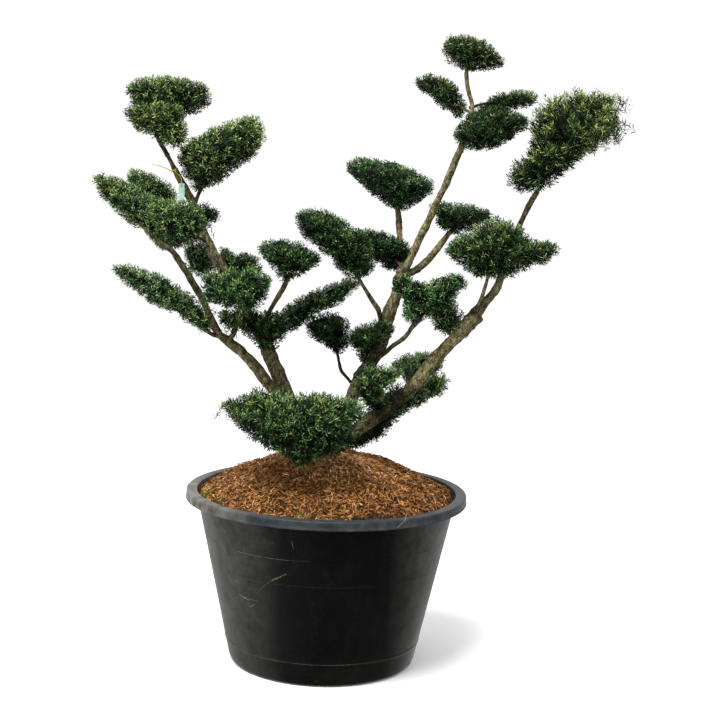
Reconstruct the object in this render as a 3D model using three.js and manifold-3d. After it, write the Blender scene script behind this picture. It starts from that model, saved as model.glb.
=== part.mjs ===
import * as THREE from "three";
import { mergeVertices } from "three/addons/utils/BufferGeometryUtils.js";
import Module from "manifold-3d";

// Cloud-pruned yew in a round container. Millimetres, +Z up, origin at the centre of the container's underside.
// Front of the tree is -Y.

// container
const POT_HEIGHT = 470;
const RIM_RADIUS = 380;
const RIM_INNER_RADIUS = 350;
const LIP_DROP = 23;
const WALL = 4;
const BODY_TOP_RADIUS = 353;
const BODY_FOOT_RADIUS = 255;
const FOOT_ROUND = 14;
const FLOOR = 5;
const MOULD_LINE_Z = 54;
const DRAIN_COUNT = 5;
const DRAIN_FIRST_DEG = -91;
const DRAIN_WIDTH = 11;
const DRAIN_TOP_Z = 19;
const POT_SIDES = 48;

// filling
const SOIL_TOP = 425;
const MULCH_RADIUS = 347.6;
const MULCH_EDGE_Z = 460;
const MULCH_RISE = 112;
const GAP = 0.35;

// stems
const STEM_SIDES = 7;
const BRANCH_SIDES = 5;
const FLARE = [[-24, 14, 455, 96], [-24, 14, 520, 100], [-22, 16, 556, 78]];

// label
const LABEL = { x: -409, y: -19, z: 1252, width: 16, tall: 62, thick: 0.9, hole: 2 };
const TIE = { x: -431, z: 1317, y: 0, ring: 9.2, band: 1.4, tall: 4 };

// [x, y, z, diameter] along each stem
const STEMS = {
  stem_left: [[-45,20,505,60],[-55,20,566,52],[-73,20,620,44],[-95,15,675,38],[-121,10,729,36]],
  left_low: [[-92,15,675,36],[-120,0,709,31],[-166,-10,754,29],[-202,-15,801,27.8],[-232,-20,833,25.3],[-255,-20,851,25.7],[-281,-20,870,25],[-300,-20,883,22]],
  left_out: [[-300,-20,883,21],[-324,-15,921,20],[-343,-10,967,19],[-369,-10,1011,19.3],[-391,-15,1047,18],[-413,-20,1078,17],[-429,-25,1103,15.5],[-453,-30,1120,14.5],[-481,-30,1144,13],[-503,-25,1161,11.5],[-531,-10,1186,9.5],[-559,20,1215,7]],
  left_high: [[-95,15,675,36],[-121,15,728,36],[-148,20,786,35],[-167,20,826,36],[-181,20,863,32],[-211,15,909,29],[-232,15,949,28],[-251,10,990,27],[-273,10,1030,26],[-299,5,1062,25],[-319,0,1092,24],[-334,0,1124,22.5],[-348,0,1150,21.5],[-361,0,1183,21],[-374,0,1214,20.5],[-389,0,1245,19.5],[-409,0,1280,17],[-430,0,1316,14],[-446,0,1347,10.9],[-463,0,1376,11],[-479,0,1404,10],[-491,20,1447,8.5],[-485,45,1485,7]],
  stem_right: [[-26,30,504,64],[-17,30,566,54],[15,30,628,44],[43,30,678,38],[62,30,726,36],[78,30,772,34],[97,30,804,33],[125,30,843,32],[141,30,893,32],[145,30,930,35.3],[152,30,956,32.7],[169,30,1003,30],[178,30,1030,28],[184,30,1058,25],[204,30,1104,19.5],[225,30,1153,18.5],[242,30,1193,19.5],[258,30,1229,18],[273,30,1267,17.5],[295,30,1316,18.3],[313,20,1369,17.1],[326,10,1402,17.7],[337,10,1444,13],[347,20,1481,12],[352,30,1513,11],[340,40,1556,10.7],[334,50,1600,10],[340,60,1646,7]],
  stem_outer: [[-9,0,516,56],[6,0,561,48],[48,-5,613,40],[101,-10,657,37],[151,-10,697,36],[201,-10,739,35],[232,-10,773,35],[253,-10,801,34],[276,-10,834,33],[310,-10,875,28.9],[338,-10,903,31],[367,-10,939,33],[388,-10,963,33.2]],
  outer_high: [[382,-10,960,24],[398,-10,987,26.1],[422,-10,1013,22.9],[437,-8,1037,23.2],[448,0,1071,18.5],[458,15,1104,18],[471,25,1150,17],[485,25,1184,16],[495,20,1211,15],[506,10,1241,15.3],[519,0,1270,15.3],[531,-20,1297,12],[546,-50,1339,9],[567,-80,1381,6.5]],
  outer_thin: [[381,-20,971,12],[392,-40,1004,9.5],[398,-60,1032,10.9],[404,-85,1071,8],[397,-120,1114,6.5]],
};

// [x, y, z, diameter] along each side branch
const BRANCHES = {
  b01: [[-481,10,1420,6],[-516,45,1468,5.5],[-535,55,1499,4.5]],
  b01b: [[-491,18,1441,7],[-480,50,1464,6],[-450,65,1492,5.5],[-418,65,1509,4.5]],
  b02: [[-451,0,1355,9.1],[-469,-30,1387,7],[-476,-70,1427,5.5]],
  b03: [[-378,0,1225,11],[-363,-10,1260,10],[-340,-20,1302,8.5],[-300,-45,1351,7],[-260,-70,1394,5]],
  b04: [[-372,0,1203,9],[-413,30,1206,8],[-454,55,1183,6]],
  b05: [[-378,2,1225,9],[-415,60,1216,8],[-454,130,1216,7.5],[-494,175,1231,7],[-526,200,1257,5]],
  b06: [[-344,0,1132,8.5],[-362,-50,1147,8],[-389,-115,1179,6]],
  b07: [[-358,5,1166,7],[-353,50,1186,6],[-353,90,1202,5]],
  b08: [[-316,0,1082,8],[-343,50,1073,7],[-371,100,1083,5]],
  b09: [[-284,10,1040,9],[-271,40,1055,8],[-258,70,1075,6]],
  b10: [[-277,-20,868,13],[-259,-30,896,12],[-251,-60,937,11],[-239,-100,986,9],[-243,-130,1020,6.5]],
  b11: [[-266,-32,891,6.5],[-243,-30,922,6],[-226,-30,936,5]],
  b12: [[-184,20,873,11],[-163,20,898,10.5],[-131,30,920,10],[-94,35,945,9],[-41,30,980,7.5],[12,20,1012,5]],
  b13: [[-172,20,848,9],[-175,-30,876,8.5],[-178,-75,907,6]],
  b14: [[-296,-20,880,12],[-323,-30,888,11],[-354,-45,917,10.5],[-393,-65,951,9.5],[-437,-85,984,8],[-482,-100,1013,6]],
  b15: [[-188,18,880,12],[-178,0,920,12],[-169,-10,950,12],[-147,-25,991,13.6],[-129,-40,1023,13.4],[-118,-45,1054,10],[-111,-55,1093,7]],
  b16: [[138,30,913,12],[128,20,941,11.5],[122,10,963,12.9],[100,0,996,12.4],[77,-10,1031,10.5],[57,-20,1063,9],[29,-35,1110,6.5]],
  b17: [[188,30,1069,10],[177,60,1083,9],[150,105,1110,6.5]],
  b18: [[172,30,1043,18],[183,70,1075,17],[183,120,1110,16.5],[177,165,1153,16],[173,195,1196,17.8],[168,220,1234,13],[158,240,1279,9]],
  b19: [[189,30,1061,17],[221,60,1071,19.3],[256,100,1101,18.8],[283,125,1132,18],[307,140,1165,14],[326,150,1187,11],[340,155,1217,8]],
  b21: [[68,20,781,13],[87,2,805,12.5],[114,0,827,12],[137,-5,843,12],[163,0,867,13.4],[191,0,888,14.1],[211,-10,915,12.7],[222,-20,948,9.5],[215,-35,989,7]],
  b22: [[210,-10,915,10.4],[233,-10,940,7.5],[252,-10,973,7],[271,-10,1001,6.5],[296,-15,1024,5]],
  b23: [[330,-10,900,8.5],[312,0,911,8],[303,10,932,6]],
  b24: [[64,30,750,9.5],[48,20,771,9],[29,10,794,11.1],[22,0,819,8.9],[15,0,846,7.5],[-4,0,883,5.5]],
  b25: [[131,30,872,9],[119,-10,879,8],[105,-45,887,5.5]],
  b26: [[77,30,777,9],[91,-30,777,8.5],[109,-90,776,6]],
  b27: [[215,-10,757,11],[212,60,769,10],[235,140,790,7]],
  b28: [[184,-10,726,10],[218,30,721,9],[263,75,735,6]],
  b29: [[95,-8,651,10],[112,50,636,9],[132,110,629,6]],
  b30: [[-58,15,584,17],[-67,-50,623,15],[-84,-120,662,13],[-107,-190,689,9]],
  b30b: [[-15,0,544,14],[-5,-50,587,13],[-4,-120,638,12],[7,-190,682,8]],
  b32: [[349,25,1495,8.5],[327,60,1509,8],[302,100,1529,7],[274,105,1552,5]],
  b33: [[348,28,1508,8.5],[381,90,1522,8],[435,150,1537,7],[479,170,1541,5]],
  b34: [[342,15,1465,8],[369,-40,1453,7.5],[407,-90,1453,5.5]],
  b20: [[474,25,1155,8],[484,-40,1150,7.5],[505,-90,1143,5.5]],
};

// Foliage pads: centre, half depth front to back, plan slope, and the outline seen from the front
// as [x, z] offsets from the centre.
const PADS = [
  { name: "pad_left_crown_rear", x: -462, y: 60, z: 1513, deep: 105, slew: 0, edge: [[-117,12],[-97,35],[-68,46],[-37,52],[-6,55],[24,51],[54,46],[85,40],[112,26],[116,-4],[102,-30],[74,-44],[43,-50],[12,-52],[-19,-52],[-50,-47],[-79,-37],[-100,-14]] },
  { name: "pad_left_crown_front", x: -457, y: -90, z: 1438, deep: 80, slew: 0, edge: [[-97,28],[-74,39],[-50,49],[-24,52],[2,51],[28,50],[49,41],[62,18],[70,-7],[75,-31],[63,-54],[42,-65],[16,-62],[-7,-51],[-28,-37],[-53,-28],[-76,-16],[-85,7]] },
  { name: "pad_left_upper_inner", x: -310, y: -40, z: 1367, deep: 95, slew: -0.3, edge: [[-109,2],[-85,31],[-52,49],[-16,63],[19,78],[55,91],[90,100],[118,76],[125,41],[112,6],[88,-22],[54,-40],[24,-63],[-2,-90],[-37,-105],[-70,-100],[-93,-70],[-110,-36]] },
  { name: "pad_left_outer", x: -495, y: 45, z: 1198, deep: 115, slew: 0.15, edge: [[-157,98],[-115,99],[-75,89],[-37,69],[0,50],[40,37],[79,20],[114,-3],[138,-35],[121,-70],[85,-91],[44,-98],[7,-81],[-16,-47],[-54,-28],[-87,-3],[-119,24],[-144,58]] },
  { name: "pad_left_outer_rear", x: -524, y: 205, z: 1269, deep: 70, slew: -0.2, edge: [[-50,49],[-29,46],[-7,43],[12,33],[32,23],[50,12],[66,-3],[76,-22],[72,-42],[51,-46],[29,-45],[8,-38],[-13,-32],[-32,-23],[-51,-12],[-67,4],[-78,21],[-69,40]] },
  { name: "pad_left_mid_front", x: -405, y: -130, z: 1188, deep: 75, slew: 0, edge: [[-75,39],[-55,54],[-31,56],[-7,53],[18,50],[42,43],[65,35],[78,14],[79,-9],[65,-29],[44,-42],[25,-58],[4,-69],[-20,-64],[-42,-53],[-52,-31],[-65,-9],[-71,15]] },
  { name: "pad_left_mid_rear", x: -358, y: 85, z: 1196, deep: 55, slew: 0, edge: [[-25,32],[-13,32],[-2,32],[10,30],[21,30],[29,22],[34,11],[31,1],[27,-10],[18,-15],[7,-18],[0,-26],[-12,-28],[-20,-24],[-25,-13],[-30,-2],[-30,9],[-27,21]] },
  { name: "pad_left_inner_rear", x: -371, y: 100, z: 1081, deep: 65, slew: 0, edge: [[-50,31],[-36,42],[-20,48],[-3,52],[13,46],[24,32],[32,17],[41,2],[51,-13],[49,-28],[37,-40],[20,-45],[3,-48],[-14,-43],[-29,-35],[-38,-20],[-45,-4],[-46,14]] },
  { name: "pad_left_inner_upper", x: -263, y: 85, z: 1064, deep: 70, slew: 0, edge: [[-61,30],[-49,46],[-32,40],[-14,32],[6,34],[25,36],[44,29],[59,17],[69,-1],[65,-20],[50,-33],[31,-40],[11,-41],[-9,-42],[-28,-36],[-45,-26],[-55,-9],[-62,10]] },
  { name: "pad_left_inner_front", x: -249, y: -120, z: 1019, deep: 100, slew: 0, edge: [[-92,25],[-70,41],[-44,48],[-16,51],[11,52],[39,53],[64,44],[88,30],[92,8],[84,-18],[68,-40],[46,-57],[19,-59],[-8,-53],[-35,-48],[-62,-43],[-84,-29],[-90,-2]] },
  { name: "pad_left_inner_lower", x: -245, y: -35, z: 931, deep: 50, slew: 0, edge: [[-64,18],[-48,24],[-30,27],[-13,28],[5,30],[22,30],[39,28],[52,18],[57,2],[52,-15],[41,-27],[26,-36],[10,-34],[-7,-29],[-24,-28],[-38,-27],[-49,-14],[-58,2]] },
  { name: "pad_centre_long", x: -60, y: 40, z: 965, deep: 75, slew: -0.15, edge: [[-118,-39],[-90,-19],[-62,2],[-34,23],[-5,42],[28,53],[60,68],[93,79],[126,80],[123,52],[101,24],[73,6],[41,-10],[11,-27],[-15,-50],[-42,-71],[-75,-83],[-106,-72]] },
  { name: "pad_centre_low", x: -175, y: -70, z: 913, deep: 65, slew: 0, edge: [[-74,15],[-59,31],[-42,43],[-20,45],[1,45],[23,43],[43,35],[62,23],[68,5],[58,-14],[49,-34],[34,-50],[18,-60],[-4,-61],[-20,-49],[-34,-32],[-52,-21],[-67,-6]] },
  { name: "pad_left_low_long", x: -432, y: -90, z: 988, deep: 85, slew: 0.3, edge: [[-136,76],[-100,81],[-64,70],[-29,59],[5,45],[34,22],[63,0],[90,-25],[111,-56],[121,-88],[90,-94],[67,-64],[37,-44],[2,-33],[-34,-24],[-61,-1],[-89,22],[-119,44]] },
  { name: "pad_centre_small", x: -120, y: -50, z: 1098, deep: 85, slew: -0.2, edge: [[-86,17],[-73,36],[-50,47],[-26,53],[-2,47],[22,45],[46,39],[65,24],[85,10],[85,-12],[65,-26],[45,-41],[22,-50],[1,-64],[-21,-57],[-36,-37],[-53,-20],[-72,-4]] },
  { name: "pad_centre_upper_front", x: 12, y: -40, z: 1144, deep: 95, slew: 0.25, edge: [[-120,72],[-90,88],[-56,89],[-23,77],[9,64],[35,40],[67,29],[87,1],[96,-33],[98,-68],[77,-95],[43,-95],[10,-83],[-13,-58],[-39,-34],[-66,-11],[-95,8],[-111,38]] },
  { name: "pad_centre_upper_rear", x: 137, y: 125, z: 1119, deep: 75, slew: 0, edge: [[-81,51],[-57,60],[-32,60],[-7,57],[17,49],[38,36],[60,23],[79,6],[83,-15],[70,-37],[54,-54],[29,-60],[5,-56],[-15,-41],[-38,-31],[-59,-16],[-75,4],[-85,26]] },
  { name: "pad_centre_high", x: 144, y: 235, z: 1306, deep: 130, slew: 0, edge: [[-125,51],[-93,65],[-58,67],[-24,59],[11,58],[45,47],[77,34],[107,15],[130,-4],[117,-32],[90,-56],[60,-73],[26,-81],[-6,-67],[-34,-45],[-66,-31],[-90,-5],[-116,19]] },
  { name: "pad_right_upper_rear", x: 337, y: 140, z: 1219, deep: 90, slew: 0, edge: [[-83,25],[-63,38],[-39,39],[-16,35],[8,35],[33,35],[55,31],[77,21],[96,11],[85,-10],[65,-22],[43,-32],[20,-40],[-4,-46],[-27,-45],[-49,-35],[-68,-21],[-76,2]] },
  { name: "pad_right_upper_front", x: 427, y: -125, z: 1142, deep: 130, slew: -0.1, edge: [[-144,10],[-114,37],[-78,56],[-44,79],[-4,88],[35,76],[68,52],[101,30],[142,29],[150,-4],[125,-36],[86,-46],[49,-65],[11,-78],[-30,-79],[-69,-72],[-101,-45],[-137,-25]] },
  { name: "pad_right_mid_inner", x: 217, y: -45, z: 1003, deep: 65, slew: 0, edge: [[-57,56],[-36,63],[-14,58],[7,51],[28,42],[46,29],[58,11],[62,-11],[56,-33],[41,-50],[22,-61],[2,-69],[-20,-64],[-32,-46],[-35,-24],[-41,-2],[-54,16],[-65,35]] },
  { name: "pad_right_mid_outer", x: 292, y: -20, z: 1022, deep: 65, slew: 0, edge: [[-62,18],[-43,25],[-25,35],[-6,43],[13,49],[33,54],[51,46],[62,30],[60,11],[47,-5],[37,-22],[31,-42],[14,-52],[-6,-54],[-25,-49],[-42,-37],[-55,-21],[-61,-2]] },
  { name: "pad_right_mid_low", x: 301, y: 20, z: 954, deep: 60, slew: 0, edge: [[-62,30],[-45,42],[-26,49],[-6,51],[15,51],[32,43],[44,26],[54,8],[60,-12],[57,-31],[41,-43],[24,-55],[5,-58],[-15,-51],[-31,-39],[-46,-25],[-58,-9],[-65,10]] },
  { name: "pad_centre_low_small", x: -6, y: -5, z: 903, deep: 70, slew: 0, edge: [[-69,22],[-55,38],[-35,45],[-14,49],[7,52],[28,49],[46,39],[54,21],[54,0],[54,-21],[50,-41],[36,-56],[16,-61],[-3,-54],[-19,-40],[-38,-30],[-54,-17],[-66,1]] },
  { name: "pad_right_stem_rear", x: 100, y: -50, z: 891, deep: 60, slew: 0, edge: [[-65,0],[-59,21],[-42,35],[-21,42],[1,46],[21,56],[43,53],[63,43],[76,27],[62,9],[45,-6],[32,-24],[21,-43],[6,-59],[-12,-68],[-28,-54],[-39,-35],[-56,-20]] },
  { name: "pad_right_stem_front", x: 123, y: -85, z: 771, deep: 65, slew: 0, edge: [[-52,32],[-38,51],[-16,59],[8,58],[32,56],[55,49],[68,34],[57,15],[38,-1],[30,-22],[38,-44],[27,-66],[6,-76],[-17,-70],[-35,-55],[-48,-34],[-58,-13],[-62,10]] },
  { name: "pad_right_low_rear", x: 240, y: 140, z: 797, deep: 85, slew: 0, edge: [[-73,4],[-58,19],[-41,31],[-20,33],[0,40],[20,43],[40,37],[57,25],[74,19],[63,1],[48,-14],[31,-26],[14,-38],[-3,-52],[-22,-59],[-38,-47],[-46,-27],[-57,-10]] },
  { name: "pad_right_low_outer", x: 249, y: 70, z: 731, deep: 70, slew: 0, edge: [[33,62],[56,58],[73,44],[75,21],[59,5],[39,-8],[18,-19],[-3,-30],[-23,-43],[-44,-51],[-65,-64],[-76,-51],[-71,-28],[-58,-7],[-38,3],[-17,12],[0,29],[14,48]] },
  { name: "pad_right_foot", x: 143, y: 115, z: 655, deep: 80, slew: 0, edge: [[-99,-96],[-89,-67],[-71,-42],[-51,-19],[-33,7],[-13,31],[2,57],[19,83],[46,96],[72,84],[73,53],[63,24],[50,-4],[31,-28],[11,-52],[-13,-70],[-41,-82],[-68,-95]] },
  { name: "pad_front_foot", x: -78, y: -185, z: 683, deep: 140, slew: 0, edge: [[-96,88],[-44,85],[7,81],[59,80],[112,76],[162,63],[176,19],[156,-29],[123,-68],[77,-94],[29,-113],[-19,-104],[-63,-77],[-108,-52],[-154,-26],[-185,15],[-193,55],[-143,69]] },
  { name: "pad_right_crown_top", x: 347, y: 65, z: 1653, deep: 95, slew: 0, edge: [[-84,18],[-74,39],[-53,48],[-30,50],[-6,47],[17,39],[39,32],[59,18],[74,0],[89,-19],[71,-35],[50,-45],[26,-46],[4,-52],[-19,-45],[-41,-34],[-63,-24],[-76,-5]] },
  { name: "pad_right_crown_left", x: 278, y: 105, z: 1548, deep: 75, slew: 0, edge: [[-86,32],[-67,43],[-46,53],[-24,54],[-3,44],[18,35],[37,22],[51,4],[59,-18],[66,-37],[58,-59],[39,-62],[19,-50],[-1,-39],[-19,-25],[-33,-7],[-56,-2],[-73,13]] },
  { name: "pad_right_crown_rear", x: 463, y: 170, z: 1538, deep: 80, slew: 0, edge: [[-92,-19],[-74,-9],[-60,7],[-41,17],[-21,23],[-1,31],[20,32],[41,32],[62,29],[77,14],[73,-5],[54,-14],[33,-18],[12,-21],[-9,-23],[-31,-26],[-52,-30],[-72,-27]] },
  { name: "pad_right_crown_front", x: 397, y: -30, z: 1456, deep: 115, slew: 0, edge: [[-99,-18],[-83,5],[-67,28],[-46,44],[-19,52],[8,60],[36,56],[62,48],[87,36],[99,13],[84,-10],[61,-26],[38,-42],[16,-57],[-11,-59],[-39,-64],[-66,-58],[-89,-43]] },
  { name: "pad_right_outer_loose", x: 581, y: -84, z: 1434, deep: 150, slew: -0.25, edge: [[-75,83],[-33,107],[15,122],[63,124],[112,120],[130,83],[141,43],[120,1],[84,-32],[47,-63],[9,-94],[-26,-128],[-73,-146],[-120,-136],[-141,-98],[-111,-59],[-89,-15],[-85,34]] },
];
const PAD_TIERS = [1, 0.82, 0.44];

const wasm = await Module();
wasm.setup();

function toSolid(geometry) {
  const bare = new THREE.BufferGeometry();
  bare.setAttribute("position", geometry.getAttribute("position").clone());
  if (geometry.index) bare.setIndex(geometry.index.clone());
  const merged = mergeVertices(bare, 1e-3);
  const src = merged.index.array;
  const keep = [];
  for (let i = 0; i < src.length; i += 3) {
    const [a, b, c] = [src[i], src[i + 1], src[i + 2]];
    if (a !== b && b !== c && a !== c) keep.push(a, b, c);
  }
  const mesh = new wasm.Mesh({
    numProp: 3,
    vertProperties: new Float32Array(merged.getAttribute("position").array),
    triVerts: new Uint32Array(keep),
  });
  mesh.merge();
  return new wasm.Manifold(mesh);
}

function toGeometry(solid) {
  const mesh = solid.getMesh();
  const flat = new Float32Array((mesh.vertProperties.length / mesh.numProp) * 3);
  for (let i = 0, j = 0; i < mesh.vertProperties.length; i += mesh.numProp, j += 3) {
    flat[j] = mesh.vertProperties[i];
    flat[j + 1] = mesh.vertProperties[i + 1];
    flat[j + 2] = mesh.vertProperties[i + 2];
  }
  const geometry = new THREE.BufferGeometry();
  geometry.setAttribute("position", new THREE.BufferAttribute(flat, 3));
  geometry.setIndex(Array.from(mesh.triVerts));
  return geometry;
}

// Keeps the connected shell that encloses the most, so that a cut never leaves a loose crumb.
function largestShell(solid) {
  const parts = solid.decompose();
  let best = parts[0];
  for (const p of parts) if (Math.abs(p.volume()) > Math.abs(best.volume())) best = p;
  return best;
}

// A solid turned about Z from a closed [radius, z] profile whose ends are on the axis.
function turned(profile, sides) {
  const pts = profile.map(([r, z]) => new THREE.Vector2(r, z));
  const lathe = new THREE.LatheGeometry(pts, sides);
  lathe.rotateX(Math.PI / 2);
  return lathe;
}

function positive(geometry) {
  const solid = toSolid(geometry);
  if (solid.volume() > 0) return solid;
  const g = geometry.clone();
  const a = g.index.array;
  for (let i = 0; i < a.length; i += 3) {
    const t = a[i + 1];
    a[i + 1] = a[i + 2];
    a[i + 2] = t;
  }
  return toSolid(g);
}

// A closed tapered tube through [x, y, z, diameter] stations.
function limb(stations, sides, extra) {
  const centres = stations.map((s) => new THREE.Vector3(s[0], s[1], s[2]));
  const positions = [];
  const index = [];
  let side = new THREE.Vector3(1, 0, 0);
  centres.forEach((c, i) => {
    const before = centres[Math.max(0, i - 1)];
    const after = centres[Math.min(centres.length - 1, i + 1)];
    const along = after.clone().sub(before).normalize();
    side.sub(along.clone().multiplyScalar(side.dot(along)));
    if (side.length() < 1e-3) side.set(0, 1, 0).sub(along.clone().multiplyScalar(along.y));
    side.normalize();
    const other = along.clone().cross(side);
    let reach = 0;
    if (extra && (i === 0 || i === centres.length - 1)) reach = i === 0 ? -extra : extra;
    const radius = stations[i][3] / 2 + extra;
    for (let j = 0; j < sides; j++) {
      const a = (2 * Math.PI * j) / sides;
      const p = c
        .clone()
        .addScaledVector(side, Math.cos(a) * radius)
        .addScaledVector(other, Math.sin(a) * radius)
        .addScaledVector(along, reach);
      positions.push(p.x, p.y, p.z);
    }
  });
  const n = centres.length;
  for (let i = 0; i + 1 < n; i++)
    for (let j = 0; j < sides; j++) {
      const k = (j + 1) % sides;
      const [a, b, c, d] = [i * sides + j, i * sides + k, (i + 1) * sides + j, (i + 1) * sides + k];
      index.push(a, b, d, a, d, c);
    }
  for (let j = 1; j + 1 < sides; j++) {
    index.push(0, j + 1, j);
    const e = (n - 1) * sides;
    index.push(e, e + j, e + j + 1);
  }
  const g = new THREE.BufferGeometry();
  g.setAttribute("position", new THREE.Float32BufferAttribute(positions, 3));
  g.setIndex(index);
  return g;
}

function woodSolid(extra) {
  let all = positive(limb(FLARE, 9, extra));
  for (const s of Object.values(STEMS)) all = all.add(positive(limb(s, STEM_SIDES, extra)));
  for (const s of Object.values(BRANCHES)) all = all.add(positive(limb(s, BRANCH_SIDES, extra)));
  return all;
}

// A pad is its front outline drawn in towards the centre while it swells to the front and to the rear.
function padGeometry(pad, grow) {
  const m = pad.edge.length;
  const positions = [];
  const index = [];
  const lump = (j, side) => 1 + 0.1 * Math.sin(((3 * 2 * Math.PI) / m) * j + pad.x * 0.05 + side);
  const put = (dx, dz, dy) => {
    const gx = dx * grow;
    const gz = dz * grow;
    positions.push(pad.x + gx, pad.y + pad.slew * gx + dy * grow, pad.z + gz);
  };
  pad.edge.forEach(([dx, dz]) => put(dx, dz, 0));
  const ring = [Array.from({ length: m }, (_, j) => j)];
  for (const side of [-1, 1]) {
    let outer = ring[0];
    for (const s of PAD_TIERS.slice(1)) {
      const start = positions.length / 3;
      pad.edge.forEach(([dx, dz], j) => put(dx * s, dz * s, side * pad.deep * Math.sqrt(1 - s * s) * lump(j, side)));
      const inner = Array.from({ length: m }, (_, j) => start + j);
      for (let j = 0; j < m; j++) {
        const k = (j + 1) % m;
        if (side < 0) index.push(outer[j], outer[k], inner[k], outer[j], inner[k], inner[j]);
        else index.push(outer[j], inner[k], outer[k], outer[j], inner[j], inner[k]);
      }
      outer = inner;
    }
    const tip = positions.length / 3;
    put(0, 0, side * pad.deep);
    for (let j = 0; j < m; j++) {
      const k = (j + 1) % m;
      if (side < 0) index.push(outer[j], outer[k], tip);
      else index.push(outer[j], tip, outer[k]);
    }
  }
  const g = new THREE.BufferGeometry();
  g.setAttribute("position", new THREE.Float32BufferAttribute(positions, 3));
  g.setIndex(index);
  return g;
}

const group = new THREE.Group();
group.name = "cloud_pruned_yew";
function place(name, geometry, color, roughness) {
  geometry.computeVertexNormals();
  const material = new THREE.MeshStandardMaterial({ color, roughness, metalness: 0, flatShading: true });
  material.name = name + "_surface";
  const mesh = new THREE.Mesh(geometry, material);
  mesh.name = name;
  group.add(mesh);
}

// Container: one moulded shell with a turned-down lip, a mould line low on the wall and drain notches at the foot.
const wallAt = (z) => BODY_FOOT_RADIUS + ((BODY_TOP_RADIUS - BODY_FOOT_RADIUS) * (z - FOOT_ROUND)) / (POT_HEIGHT - 8 - FOOT_ROUND);
const potProfile = [
  [0, 0],
  [BODY_FOOT_RADIUS - FOOT_ROUND, 0],
  [BODY_FOOT_RADIUS - FOOT_ROUND * 0.35, FOOT_ROUND * 0.28],
  [wallAt(FOOT_ROUND), FOOT_ROUND],
  [wallAt(MOULD_LINE_Z - 2), MOULD_LINE_Z - 2],
  [wallAt(MOULD_LINE_Z) + 1.2, MOULD_LINE_Z],
  [wallAt(MOULD_LINE_Z + 3), MOULD_LINE_Z + 3],
  [wallAt(POT_HEIGHT - 8), POT_HEIGHT - 8],
  [RIM_RADIUS - 5.5, POT_HEIGHT - 6],
  [RIM_RADIUS - 4, POT_HEIGHT - LIP_DROP],
  [RIM_RADIUS + 1.5, POT_HEIGHT - LIP_DROP],
  [RIM_RADIUS + 1.5, POT_HEIGHT - LIP_DROP + 4],
  [RIM_RADIUS - 0.5, POT_HEIGHT - LIP_DROP + 6],
  [RIM_RADIUS - 0.5, POT_HEIGHT - 6],
  [RIM_RADIUS - 5, POT_HEIGHT],
  [RIM_INNER_RADIUS + 4, POT_HEIGHT],
  [RIM_INNER_RADIUS, POT_HEIGHT - 3],
  [wallAt(FLOOR + 12) - WALL, FLOOR + 12],
  [wallAt(FLOOR + 12) - WALL - 10, FLOOR],
  [0, FLOOR],
];
let pot = positive(turned(potProfile, POT_SIDES));
for (let i = 0; i < DRAIN_COUNT; i++) {
  const angle = THREE.MathUtils.degToRad(DRAIN_FIRST_DEG + (360 / DRAIN_COUNT) * i);
  const slot = new THREE.BoxGeometry(30, DRAIN_WIDTH, DRAIN_TOP_Z - FLOOR - 1.5);
  slot.translate(BODY_FOOT_RADIUS, 0, (DRAIN_TOP_Z + FLOOR + 1.5) / 2);
  slot.rotateZ(angle);
  pot = pot.subtract(positive(slot));
}
place("pot", toGeometry(pot), 0x2b2d2e, 0.55);

const woodGrown = woodSolid(GAP);

// Growing medium: fills the container up to the underside of the mulch.
const soilProfile = [
  [0, FLOOR + GAP],
  [wallAt(FLOOR + 12) - WALL - 10 - GAP, FLOOR + GAP],
  [wallAt(FLOOR + 12) - WALL - GAP * 1.5, FLOOR + 12 + GAP],
  [wallAt(SOIL_TOP) - WALL - GAP * 3, SOIL_TOP],
  [0, SOIL_TOP],
];
place("growing_medium", toGeometry(positive(turned(soilProfile, POT_SIDES)).subtract(woodGrown)), 0x4a3524, 0.95);

// Mulch: a low heap of bark and fibre, highest round the stems.
function mulchGeometry() {
  const sides = 40;
  const rings = [0.995, 0.93, 0.8, 0.64, 0.47, 0.3, 0.14];
  const positions = [0, 0, SOIL_TOP + GAP];
  const index = [];
  const rough = (r, a) => (3.2 * Math.sin(5 * a + r * 9) + 2.6 * Math.sin(9 * a - r * 17) + 2 * Math.cos(14 * a + r * 31)) * Math.min(1, (1 - r) * 5);
  for (let j = 0; j < sides; j++) {
    const a = (2 * Math.PI * j) / sides;
    const r = wallAt(SOIL_TOP) - WALL - GAP * 3;
    positions.push(r * Math.cos(a), r * Math.sin(a), SOIL_TOP + GAP);
  }
  for (const t of rings)
    for (let j = 0; j < sides; j++) {
      const a = (2 * Math.PI * j) / sides;
      const r = t * MULCH_RADIUS;
      positions.push(r * Math.cos(a), r * Math.sin(a), MULCH_EDGE_Z + MULCH_RISE * (1 - t * t) ** 1.12 + rough(t, a));
    }
  positions.push(0, 0, MULCH_EDGE_Z + MULCH_RISE);
  const top = positions.length / 3 - 1;
  for (let j = 0; j < sides; j++) {
    const k = (j + 1) % sides;
    index.push(0, 1 + k, 1 + j);
    for (let q = 0; q < rings.length; q++) {
      const lo = 1 + q * sides;
      const hi = lo + sides;
      index.push(lo + j, lo + k, hi + k, lo + j, hi + k, hi + j);
    }
    const last = 1 + rings.length * sides;
    index.push(last + j, last + k, top);
  }
  const g = new THREE.BufferGeometry();
  g.setAttribute("position", new THREE.Float32BufferAttribute(positions, 3));
  g.setIndex(index);
  return g;
}
place("mulch", toGeometry(positive(mulchGeometry()).subtract(woodGrown)), 0x8a6238, 0.95);

// Wood: three stems from one foot, with all their branches, grown as one piece.
place("stems", toGeometry(woodSolid(0)), 0x8a7558, 0.85);

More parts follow.
